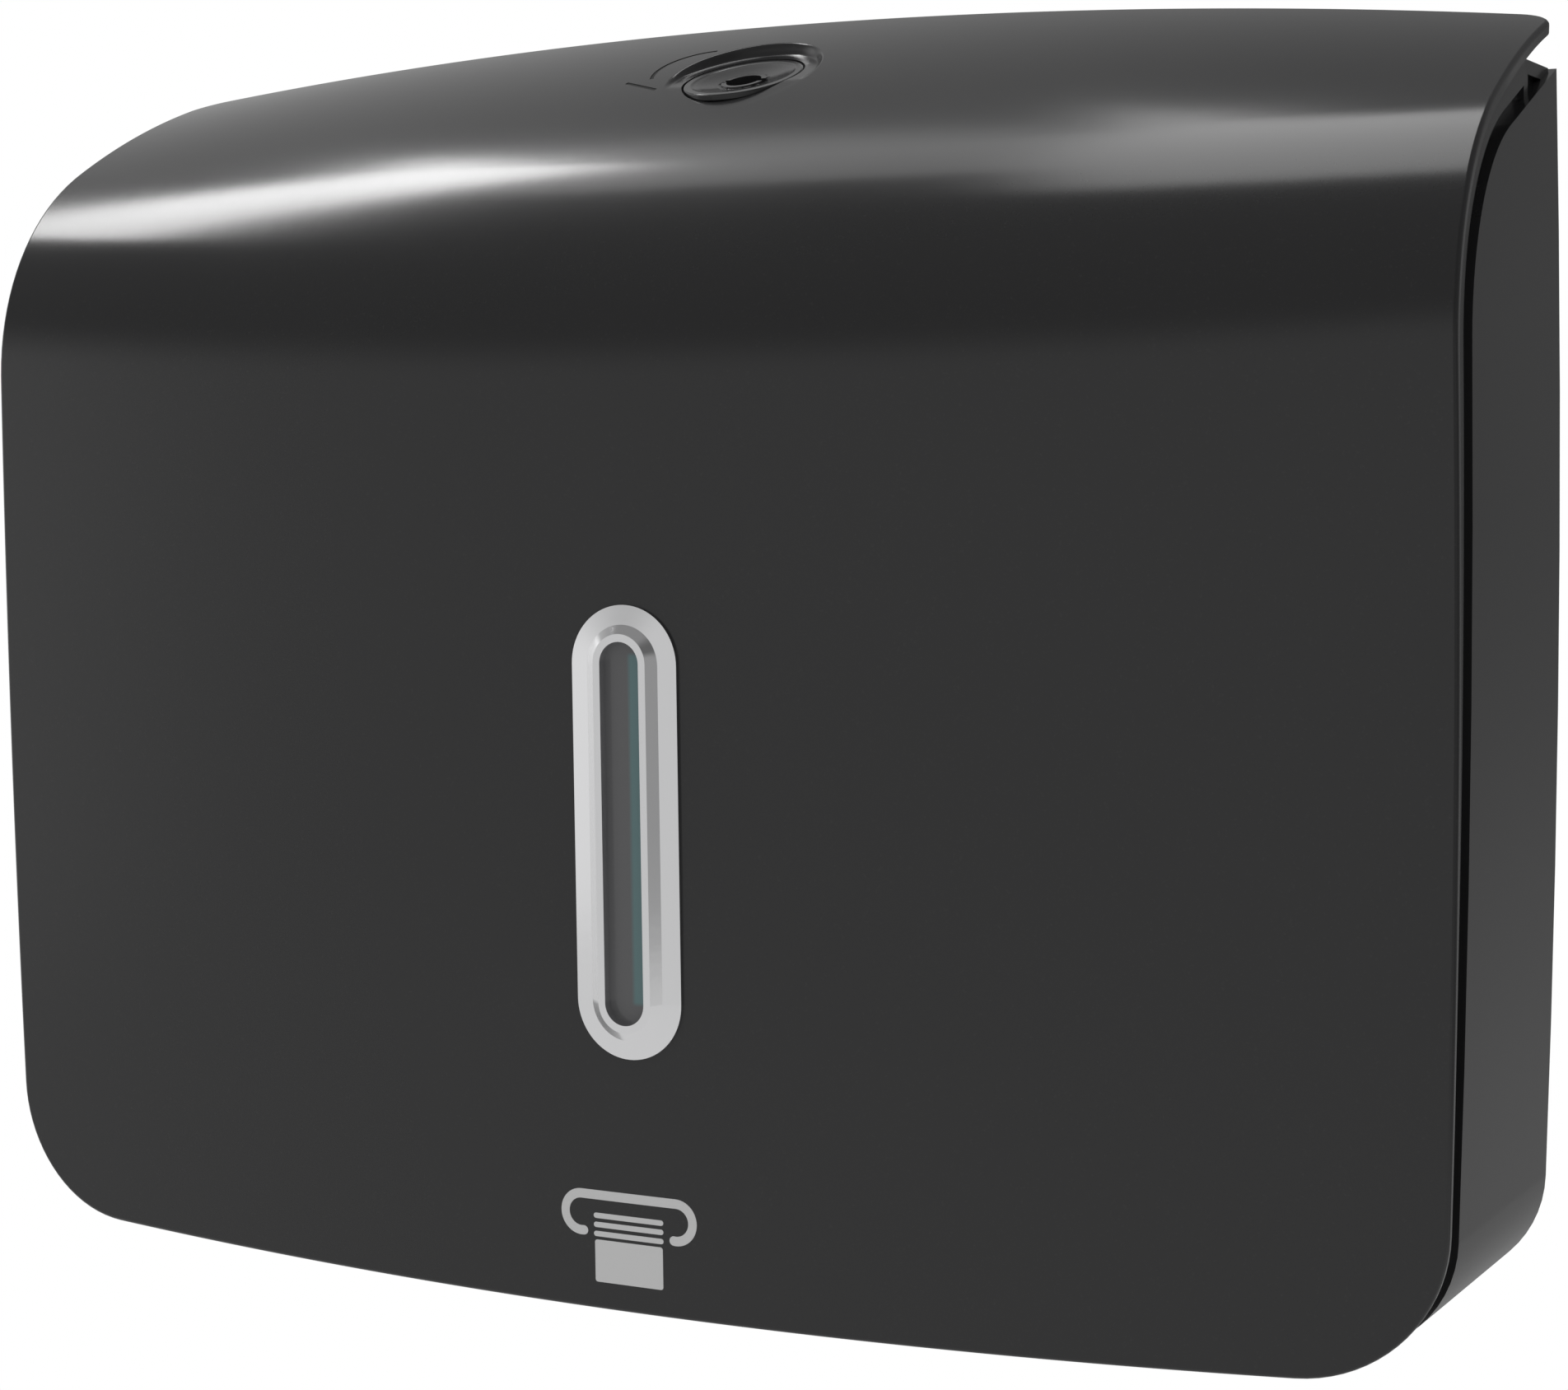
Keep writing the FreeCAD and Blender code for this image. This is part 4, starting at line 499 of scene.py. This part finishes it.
# the scoop cut level behind the lock, with a close well for the dial and the boss on the inside
dial_back = 37.5 * mm
dial_tilt = math.radians(22.0)
scoop_radius, scoop_run, scoop_level, scoop_least = 15.8 * mm, 1.5 * mm, -0.75 * mm, 0.03 * mm
well_radius, well_depth = 11.95 * mm, 1.9 * mm
boss_radius, boss_depth = 16.1 * mm, 4.38 * mm
hub_hole = 7.68 * mm
lock_points, scoop_steps = 96, 16
lock_s = float(solve(lambda s: skin(0.0, s)[0][..., 1] + dial_back, milestones[1], milestones[3]))
lock_centre = skin(0.0, lock_s)[0]
lock_axis = np.array([0.0, -math.sin(dial_tilt), math.cos(dial_tilt)])
lock_up = np.array([0.0, math.cos(dial_tilt), math.sin(dial_tilt)])
lock_turns = np.linspace(0, 2 * math.pi, lock_points, endpoint=False)
lock_circle = np.stack([np.cos(lock_turns), np.sin(lock_turns)], -1)


def round_the_lock(radius, deep=0.0):
    """Where a cylinder about the lock's axis meets the sheet, or the surface a depth inside it."""
    x, rise = lock_circle.T * radius
    low, high = np.full_like(x, lock_s - 2 * radius), np.full_like(x, lock_s + 2 * radius)
    s = solve(lambda s: (skin(x, s, deep)[0] - lock_centre) @ lock_up - rise, low, high)
    return np.stack([x, s], -1)


def to_level(places, level):
    """The places moved along the lock's axis to one level."""
    height = (places - lock_centre) @ lock_axis - level
    return places - height[:, None] * lock_axis


def on_lock_plane(flat, level):
    """Places of flat points on the plane across the lock's axis at a level."""
    return lock_centre + flat[:, :1] * [1, 0, 0] + flat[:, 1:] * lock_up + level * lock_axis


def level_floor(shape, ring, hole, level, turned):
    """Flat face across the lock's axis between a ring and a round hole."""
    flat_ring = np.stack([(ring - lock_centre) @ [1, 0, 0], (ring - lock_centre) @ lock_up], -1)
    places, triangles = fill(flat_ring, [hole])
    shape.surface(on_lock_plane(places, level), None, triangles, turned)


scoop_rings = []
scoop_outline = round_the_lock(scoop_radius)
for radius in np.linspace(scoop_radius, well_radius, scoop_steps):
    share = min((scoop_radius - radius) / scoop_run, 1.0)
    share = share * share * (3 - 2 * share)
    ring = skin(*round_the_lock(radius).T)[0]
    over = np.maximum((ring - lock_centre) @ lock_axis - scoop_level, scoop_least)
    scoop_rings.append(ring - (over * share)[:, None] * lock_axis)
scoop_rings = np.array(scoop_rings)
inward = np.gradient(scoop_rings, axis=0)
round_way = np.roll(scoop_rings, -1, 1) - np.roll(scoop_rings, 1, 1)
scoop_ways = np.cross(round_way, inward)
scoop_ways /= np.linalg.norm(scoop_ways, axis=-1, keepdims=True)
scoop_ways[0] = skin(*scoop_outline.T)[1]
for k in range(len(scoop_rings) - 1):
    cover.strip(scoop_rings[k], scoop_rings[k + 1], scoop_ways[k], scoop_ways[k + 1])
well_foot = to_level(scoop_rings[-1], -well_depth)
to_axis = -(lock_circle[:, :1] * [1, 0, 0] + lock_circle[:, 1:] * lock_up)
cover.strip(scoop_rings[-1], well_foot, to_axis, to_axis)
hub_circle = lock_circle * hub_hole
level_floor(cover, well_foot, hub_circle, -well_depth, False)
cover.strip(on_lock_plane(hub_circle, -well_depth), on_lock_plane(hub_circle, -boss_depth), to_axis, to_axis)
boss_outline = round_the_lock(boss_radius, cover_wall)
boss_root, _ = skin(*boss_outline.T, cover_wall)
boss_foot = to_level(boss_root, -boss_depth)
cover.strip(boss_foot, boss_root, -to_axis, -to_axis)
level_floor(cover, boss_foot, hub_circle, -boss_depth, True)

# the skirt inside the sides and lower corners, ahead of the case's front edge
skirt_inset, skirt_wall, skirt_end = 3.4 * mm, 1.6 * mm, 104.0 * mm
skirt_rear = -18.6 * mm
case_front, case_top, case_turn, case_slope = 57.4 * mm, 225.0 * mm, 41.0 * mm, math.radians(22.0)
skirt_gap = 2.6 * mm


def ahead_of_case(places):
    """The places moved straight back to just ahead of the case's front edge."""
    radius = case_turn + skirt_gap
    middle_y = case_turn - case_front
    middle_z = case_top + middle_y * math.tan(case_slope) - case_turn / math.cos(case_slope) - origin_rise
    y, z = places[:, 1] - middle_y, places[:, 2] - middle_z
    turn = np.clip(np.arctan2(-y, z), case_slope, math.pi / 2)
    ahead = -y * np.sin(turn) + z * np.cos(turn) - radius
    moved = places.copy()
    moved[:, 1] += ahead * np.sin(turn)
    moved[:, 2] -= ahead * np.cos(turn)
    return moved


skirt_line = inset(outline, skirt_inset)
skirt_place, _ = skin(*skirt_line.T, cover_wall)
half_count = len(outline) // 2 + 1
on_skirt = [i for i in range(half_count) if outline[i, 0] >= skirt_end and skirt_place[i, 1] <= skirt_rear]
skirt_loops = []
for sign in (1, -1):
    outer = skirt_line[on_skirt] * [sign, 1]
    inner = inset(outline, skirt_inset + skirt_wall)[on_skirt] * [sign, 1]
    loop = np.concatenate([outer, inner[::-1]])[::sign]
    root, _ = skin(*loop.T, cover_wall)
    foot = ahead_of_case(root)
    cover.strip(foot, root)
    count = len(on_skirt)
    cover.strip(foot[count:][::-1], foot[:count], closed=False)
    skirt_loops.append(loop)

# a curved arrow engraved beside the lock, its groove filled with a near-black matt fill that is painted shade
groove_width, groove_depth = 0.8 * mm, 0.4 * mm
shade_fill_top, shade_fill_foot = 0.12 * mm, groove_depth - 0.02 * mm
mark_centre, mark_radius = (-11.1 * mm, 3.8 * mm), 9.6 * mm
mark_from, mark_to = math.radians(95.0), math.radians(202.0)
barb_from, barb_to = (-25.0 * mm, -1.0 * mm), (-16.5 * mm, -5.1 * mm)
# painted shade: a near-black matt fill laid in the arrow's groove to darken it
arrow_shade_fill = finish("arrow_shade_fill", (0.004, 0.004, 0.004), roughness=0.8, smudges=0.05,
                    texture=2500.0, depth=0.02 * mm, dust=0.0)


def ribbon(line, width, ends=0):
    """Closed outline on both sides of an open line, with round ends where a count of points is given."""
    tangent = np.gradient(line, axis=0)
    tangent /= np.linalg.norm(tangent, axis=1, keepdims=True)
    beside = np.stack([tangent[:, 1], -tangent[:, 0]], -1) * width / 2
    turns = np.linspace(0, math.pi, ends + 2)[1:-1, None]

    def cap(place, side, way):
        return place + side * np.cos(turns) + way * width / 2 * np.sin(turns)

    return np.concatenate([line + beside, cap(line[-1], beside[-1], tangent[-1]),
                           (line - beside)[::-1], cap(line[0], -beside[0], -tangent[0])])


def arc(centre, radius, start, end, count):
    turns = np.linspace(start, end, count)
    return np.stack([np.cos(turns), np.sin(turns)], -1) * radius + centre


mark_lines = [arc(mark_centre, mark_radius, mark_from, mark_to, count=24),
              np.linspace(barb_from, barb_to, num=6)]
mark_loops = [ribbon(line + [0, lock_s], groove_width) for line in mark_lines]
marks = Shell()
for loop in mark_loops:
    wall_top, _ = skin(*loop.T)
    wall_foot, _ = skin(*loop.T, groove_depth)
    cover.strip(wall_top, wall_foot)
    places, triangles = fill(loop)
    cover.surface(*skin(*places.T, groove_depth), triangles)
    marks.strip(skin(*loop.T, shade_fill_foot)[0], skin(*loop.T, shade_fill_top)[0])
    marks.surface(*skin(*places.T, shade_fill_top), triangles)
    marks.surface(*skin(*places.T, shade_fill_foot), triangles, turned=True)

# the two smooth skins, round all of these
places, triangles = fill(outer_rim, [window_hole, scoop_outline, *mark_loops], outer_step)
cover.surface(*skin(*places.T), triangles)
places, triangles = fill(inner_rim, [window_hole, boss_outline, *skirt_loops], inner_step)
cover.surface(*skin(*places.T, cover_wall), triangles, turned=True)

# the hinge ears, each a web behind the front with an eye for its pin
hinge_back, hinge_height, hinge_eye, hinge_bore = 71.0 * mm, 8.5 * mm, 3.6 * mm, 1.68 * mm
ear_place, ear_width, ear_rise = 93.0 * mm, 4.7 * mm, 15.0 * mm
pin_radius = 1.6 * mm
root_sink = 1.2 * mm


def circle(radius, start=0.0, end=2 * math.pi, count=32):
    angle = np.linspace(start, end, count, endpoint=abs(end - start) < 2 * math.pi - 0.01)
    return np.stack([np.cos(angle), np.sin(angle)], -1) * radius


def upright_at(x, flat):
    """Places of a side view's points on the plane at x."""
    return np.stack([np.full(len(flat), x), flat[:, 0], flat[:, 1] - origin_rise], -1)


for sign in (1, -1):
    ear_middle = sign * (ear_place - ear_width / 2)
    web_height = np.array([hinge_height + ear_rise, hinge_height - hinge_eye])
    s = (web_height + form_foot) / math.cos(front_lean)
    root = skin(ear_middle, s, cover_wall - root_sink)[0]
    eye = circle(hinge_eye, -math.pi / 2, math.pi / 2, count=17) + [-hinge_back, hinge_height]
    web = np.array([[-hinge_back - pin_radius, hinge_height + hinge_eye],
                    [-hinge_back - hinge_eye, hinge_height + ear_rise],
                    [root[0, 1], web_height[0]], [root[1, 1], web_height[1]]])
    rim = np.concatenate([eye, web])
    bore = circle(hinge_bore) + [-hinge_back, hinge_height]
    places, triangles = fill(rim, [bore])
    faces = []
    for x in (ear_middle - ear_width / 2, ear_middle + ear_width / 2):
        faces.append([upright_at(x, flat) for flat in (places, rim, bore)])
    (left_face, left_rim, left_bore), (right_face, right_rim, right_bore) = faces
    cover.surface(left_face, None, triangles, turned=True)
    cover.surface(right_face, None, triangles)
    cover.strip(left_rim, right_rim)
    cover.strip(right_bore, left_bore)

front_cover = cover.make("cover_shell", gloss_black)
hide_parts("front_cover")
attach(front_cover, "cover")
# the near-black painted-shade fill that sits in the arrow's groove
lock_marks = marks.make("lock_arrow_painted_shade", arrow_shade_fill)
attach(lock_marks, "cover")


# Printed sign
# Light grey ink, printed on the cover low on its front.
# It shows folded towels over a sheet, under a bracket with hooked ends.

print_grey = finish("print_grey", (0.54, 0.54, 0.54), roughness=0.5, smudges=0.05,
                    texture=1500.0, depth=0.004 * mm, dust=0.03)
print_proud, print_sunk = 0.05 * mm, 0.03 * mm
sign_across = -1.3 * mm
sheet_half, sheet_low, sheet_high, sheet_corner = 7.15 * mm, 5.2 * mm, 13.1 * mm, 0.5 * mm
fold_half, fold_stroke, fold_low, fold_pitch, fold_count = 6.85 * mm, 1.0 * mm, 14.2 * mm, 1.7 * mm, 3
hook_half, hook_height, hook_radius, hook_stroke = 9.95 * mm, 18.0 * mm, 3.45 * mm, 1.75 * mm
hook_past = math.radians(8.0)


def rounded_sheet(half, low, high, corner):
    """Outline of a rectangle with rounded corners, anticlockwise from its lower right."""
    corners = [(half - corner, low + corner, -90), (half - corner, high - corner, 0),
               (corner - half, high - corner, 90), (corner - half, low + corner, 180)]
    return np.concatenate([arc((x, z), corner, math.radians(turn), math.radians(turn + 90), count=6)
                           for x, z, turn in corners])


sign_loops = [rounded_sheet(sheet_half, sheet_low, sheet_high, sheet_corner)]
for k in range(fold_count):
    height = fold_low + k * fold_pitch
    fold = np.linspace((-fold_half, height), (fold_half, height), num=8)
    sign_loops.append(ribbon(fold, fold_stroke, ends=7))
right_hook = arc((hook_half, hook_height), hook_radius, -math.pi / 2 - hook_past, math.pi / 2, count=28)
left_hook = right_hook[::-1] * [-1, 1]
top_bar = np.linspace(right_hook[-1], left_hook[0], num=12)[1:-1]
sign_loops.append(ribbon(np.concatenate([right_hook, top_bar, left_hook]), hook_stroke, ends=7))
sign = Shell()
for loop in sign_loops:
    rim = (loop + [sign_across, form_foot]) / [1, math.cos(front_lean)]
    places, triangles = fill(rim)
    sign.surface(*skin(*places.T, -print_proud), triangles)
    sign.surface(*skin(*places.T, print_sunk), triangles, turned=True)
    sign.strip(skin(*rim.T, print_sunk)[0], skin(*rim.T, -print_proud)[0])
printed_sign = sign.make("printed_sign", print_grey)
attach(printed_sign, "cover")


# Hinge pins and clips
# Steel pins that go in from outside, through the case's lugs and the cover's ears.
# A steel clip holds each of them.

for node in ("hinge_pin_left", "hinge_pin_right", "hinge_clips"):
    dress(node, bright_steel)


# Window
# A chromed plastic bezel pushed through the cover from the front, a smoked strip behind its slot,
# and a plate with two screws that clamps both from behind.

chrome = finish("bezel_chrome", (0.9, 0.9, 0.91), roughness=0.1, smudges=0.08,
                texture=300.0, depth=0.004 * mm, dust=0.02, metallic=1.0)
smoked = finish("smoked_lens", (0.1, 0.1, 0.103), roughness=0.12, smudges=0.03,
                texture=200.0, depth=0.003 * mm, dust=0.02, IOR=1.49)
satin_black = finish("satin_black_plastic", (0.02, 0.02, 0.021), roughness=0.42, smudges=0.06,
                     texture=900.0, depth=0.02 * mm, dust=0.05)
# painted reflection: a teal band in the smoked strip's colour stands in for a reflection
painted_reflection_colour = (0.095, 0.165, 0.17, 1.0)
band_left, band_right = 0.9 * mm, 3.6 * mm
band_low, band_high = 57.5 * mm - origin_rise, 121.0 * mm - origin_rise
band_soft = 0.4 * mm


def paint_reflection_band(material):
    """Paints a teal reflection into an upright band of the strip's colour."""
    tree = material.node_tree
    make, wire = tree.nodes.new, tree.links.new
    coordinates, apart = make("ShaderNodeTexCoord"), make("ShaderNodeSeparateXYZ")
    wire(coordinates.outputs["Object"], apart.inputs[0])
    share = 1.0
    edges = (("X", band_left, 1), ("X", band_right, -1), ("Z", band_low, 1), ("Z", band_high, -1))
    for axis, edge, way in edges:
        step = make("ShaderNodeMapRange")
        step.inputs["From Min"].default_value = edge - way * band_soft
        step.inputs["From Max"].default_value = edge + way * band_soft
        wire(apart.outputs[axis], step.inputs["Value"])
        share = arithmetic(tree, "MULTIPLY", share, step.outputs["Result"])
    shader = tree.nodes["Principled BSDF"]
    plain = shader.inputs["Base Color"].links[0].from_socket
    tint = make("ShaderNodeMix")
    tint.data_type = "RGBA"
    wire(share, tint.inputs["Factor"])
    wire(plain, tint.inputs["A"])
    tint.inputs["B"].default_value = painted_reflection_colour
    wire(tint.outputs["Result"], shader.inputs["Base Color"])


# the smoked strip gets its painted teal reflection band
paint_reflection_band(smoked)
dress("window_bezel", chrome)
dress("window_lens", smoked)
dress("window_retainer", satin_black)
dress("retainer_screws", bright_steel)


# Lock
# A dished dial of black plastic with a key socket in its middle, on a hub through the cover's boss.
# A spring washer, the latch's cam, a washer and a screw hold it from inside, all of steel.

dial_foot, dial_top, seen_top = -1.75 * mm, 0.3 * mm, -0.75 * mm
dial_round, dial_round_steps, dial_inner, rim_reach = 0.3 * mm, 4, 9.0 * mm, 0.05 * mm
flat_angle, edge_angle, smooth_angle = math.radians(1.0), math.radians(20.0), math.radians(30.0)


def level_of(place):
    """Height over the sheet's middle along the lock's axis."""
    return (np.array(place) - lock_centre) @ lock_axis


def radius_of(place):
    """Distance from the lock's axis."""
    return np.linalg.norm(np.array(place) - lock_centre - level_of(place) * lock_axis)


def on_rim(vert):
    return level_of(vert.co) > seen_top - rim_reach and radius_of(vert.co) > dial_inner


def settled_dial():
    """The dial with its rim level with the sheet in front of it, and the rim's edges rounded."""
    work = bmesh.new()
    work.from_mesh(nodes["lock_dial"].data)
    bmesh.ops.remove_doubles(work, verts=work.verts, dist=join_within)
    bmesh.ops.dissolve_limit(work, angle_limit=flat_angle, verts=work.verts, edges=work.edges)
    for vert in work.verts:
        over = level_of(vert.co) - dial_foot
        if over > 0:
            drop = over * (dial_top - seen_top) / (dial_top - dial_foot)
            vert.co -= Vector(lock_axis * drop)
    rim = [edge for edge in work.edges if len(edge.link_faces) == 2
           and edge.calc_face_angle() > edge_angle and all(on_rim(vert) for vert in edge.verts)]
    bmesh.ops.bevel(work, geom=rim, offset=dial_round, segments=dial_round_steps, profile=0.5, affect="EDGES")
    mesh = bpy.data.meshes.new("dial_rounded")
    work.to_mesh(mesh)
    work.free()
    mesh.shade_smooth()
    mesh.set_sharp_from_angle(angle=smooth_angle)
    mesh.materials.append(gloss_black)
    made = add_object("dial_rounded", mesh)
    weighted = made.modifiers.new("weighted", "WEIGHTED_NORMAL")
    weighted.keep_sharp = True
    return made


dial = settled_dial()
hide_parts("lock_dial")
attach(dial, "dial")
for node in ("lock_spring_washer", "lock_cam", "cam_washer", "cam_screw"):
    dress(node, bright_steel)


# Studio
# A pale floor, a white backdrop and three soft lights overhead.
# Glossy finishes see the backdrop with darker screens in it, in front of the object and behind the wall.

def seen_rays(tree):
    """A light path node, and a socket that is 1 on camera, glossy and transmission rays."""
    ray = tree.nodes.new("ShaderNodeLightPath")
    seen = ray.outputs["Is Camera Ray"]
    for name in ("Is Glossy Ray", "Is Transmission Ray"):
        seen = arithmetic(tree, "ADD", seen, ray.outputs[name])
        seen.node.use_clamp = True
    return ray, seen


pale = bpy.data.materials.new("pale_studio")
pale.use_nodes = True
make, wire = pale.node_tree.nodes.new, pale.node_tree.links.new
matt = pale.node_tree.nodes["Principled BSDF"]
matt.inputs["Base Color"].default_value = (0.8, 0.8, 0.8, 1.0)
matt.inputs["Roughness"].default_value = 0.9
glow = make("ShaderNodeEmission")
glow.inputs["Color"].default_value = (1.0, 1.0, 1.0, 1.0)
glow_share, mirrored_glow = 0.9, 0.6
ray, seen = seen_rays(pale.node_tree)
strength = make("ShaderNodeMix")
wire(ray.outputs["Is Camera Ray"], strength.inputs["Factor"])
strength.inputs["A"].default_value = mirrored_glow
strength.inputs["B"].default_value = 1.0
wire(strength.outputs["Result"], glow.inputs["Strength"])
blend = make("ShaderNodeMixShader")
wire(arithmetic(pale.node_tree, "MULTIPLY", seen, glow_share), blend.inputs["Fac"])
wire(matt.outputs[0], blend.inputs[1])
wire(glow.outputs[0], blend.inputs[2])
wire(blend.outputs[0], pale.node_tree.nodes["Material Output"].inputs["Surface"])
floor_z, reach, floor_end = -0.5, 2.0, 0.4
floor_mesh = bpy.data.meshes.new("studio_floor")
floor_mesh.from_pydata([(-reach, -reach, floor_z), (reach, -reach, floor_z), (reach, floor_end, floor_z),
                        (-reach, floor_end, floor_z)], [], [(0, 1, 2, 3)])
floor_mesh.materials.append(pale)
studio_floor = add_object("studio_floor", floor_mesh)

world = bpy.data.worlds.new("studio_world")
bpy.context.scene.world = world
world.use_nodes = True
tree = world.node_tree
make, wire = tree.nodes.new, tree.links.new
room_level = 0.75
room = tree.nodes["Background"]
room.inputs["Color"].default_value = (room_level, room_level, room_level, 1.0)
direction, apart = make("ShaderNodeTexCoord"), make("ShaderNodeSeparateXYZ")
wire(direction.outputs["Generated"], apart.inputs["Vector"])


def ramp(axis, start, end, low, high):
    """Level that runs from low to high between two heights of the direction's X, Y or Z."""
    made = make("ShaderNodeMapRange")
    made.interpolation_type = "SMOOTHSTEP"
    for socket, value in zip(made.inputs[1:5], (start, end, low, high)):
        socket.default_value = value
    wire(apart.outputs[axis], made.inputs[0])
    return made.outputs[0]


# what a glossy finish sees, where 1 is white: mid grey in front up to a little over the horizon, darker
# above that and to the right, dim behind the wall with more light below and to the left, brightest far left
in_front = ramp("Y", -0.3, 0.1, 1.0, 0.0)
band_end, dark_start = 0.12, 0.36
low_band = arithmetic(tree, "MULTIPLY", ramp("Z", band_end, dark_start, 1.0, 0.0),
                      ramp("X", -0.8, -0.66, 0.56, 0.38))
whole_front = arithmetic(tree, "ADD", low_band, ramp("Z", band_end, dark_start, 0.2, 0.24))
front_level = arithmetic(tree, "MULTIPLY", whole_front, ramp("X", 0.2, 0.45, 1.0, 0.5))
left_part = arithmetic(tree, "MULTIPLY", ramp("X", -0.6, 0.0, 0.35, 0.0), ramp("Z", -0.25, 0.0, 0.0, 1.0))
rear_level = arithmetic(tree, "ADD", left_part, ramp("Z", -0.3, 0.0, 0.3, 0.15))
around = make("ShaderNodeMix")
wire(in_front, around.inputs["Factor"])
wire(rear_level, around.inputs["A"])
wire(front_level, around.inputs["B"])
mirrored = arithmetic(tree, "MULTIPLY", around.outputs["Result"], ramp("X", -0.97, -0.9, 2.2, 1.0))
ray, seen = seen_rays(tree)
white = make("ShaderNodeMix")
wire(ray.outputs["Is Camera Ray"], white.inputs["Factor"])
wire(mirrored, white.inputs["A"])
white.inputs["B"].default_value = 1.0
backdrop = make("ShaderNodeBackground")
wire(white.outputs["Result"], backdrop.inputs["Color"])
blend = make("ShaderNodeMixShader")
wire(seen, blend.inputs["Fac"])
wire(room.outputs[0], blend.inputs[1])
wire(backdrop.outputs[0], blend.inputs[2])
wire(blend.outputs[0], tree.nodes["World Output"].inputs["Surface"])


def soft_light(name, place, width, depth, level, turn=0.0):
    """Lamp overhead that faces down, as bright as a surface of that level, where 1 is white."""
    data = bpy.data.lights.new(name, "AREA")
    data.shape = "RECTANGLE"
    data.size, data.size_y = width, depth
    data.energy = level * math.pi * width * depth
    made = add_object(name, data)
    made.location = place
    made.rotation_euler = (0, 0, turn)


lamp_height = 1.5
soft_light("left_lamp", (-1.29, 0.032, lamp_height), 0.95, 0.352, 10.5, math.radians(50.0))
soft_light("middle_lamp", (-0.72, 0.17, lamp_height), 0.5, 0.55, 1.3)
soft_light("right_lamp", (-0.17, 0.09, lamp_height), 0.6, 0.98, 3.2)

# the camera, where the photograph was taken from, with its angles in radians
camera_place = (291.6 * mm, -578.5 * mm, 32.8 * mm)
camera_yaw, camera_pitch, camera_roll = 0.4822, 0.0734, -0.0034
focal_pixels, frame_width, sensor = 3896.0, 1904.0, 36.0
ahead = Vector((-math.sin(camera_yaw) * math.cos(camera_pitch),
                math.cos(camera_yaw) * math.cos(camera_pitch), -math.sin(camera_pitch)))
level_right = Vector((math.cos(camera_yaw), math.sin(camera_yaw), 0))
level_up = level_right.cross(ahead)
right = level_right * math.cos(camera_roll) + level_up * math.sin(camera_roll)
up = level_up * math.cos(camera_roll) - level_right * math.sin(camera_roll)
camera_data = bpy.data.cameras.new("camera")
camera_data.sensor_width = sensor
camera_data.lens = focal_pixels * sensor / frame_width
camera_data.clip_start, camera_data.clip_end = 0.01, 30.0
camera = add_object("camera", camera_data)
turn = Matrix((right, up, -ahead)).transposed()
camera.matrix_world = Matrix.Translation(camera_place) @ turn.to_4x4()
bpy.context.scene.camera = camera
bpy.context.scene.view_settings.view_transform = "Standard"
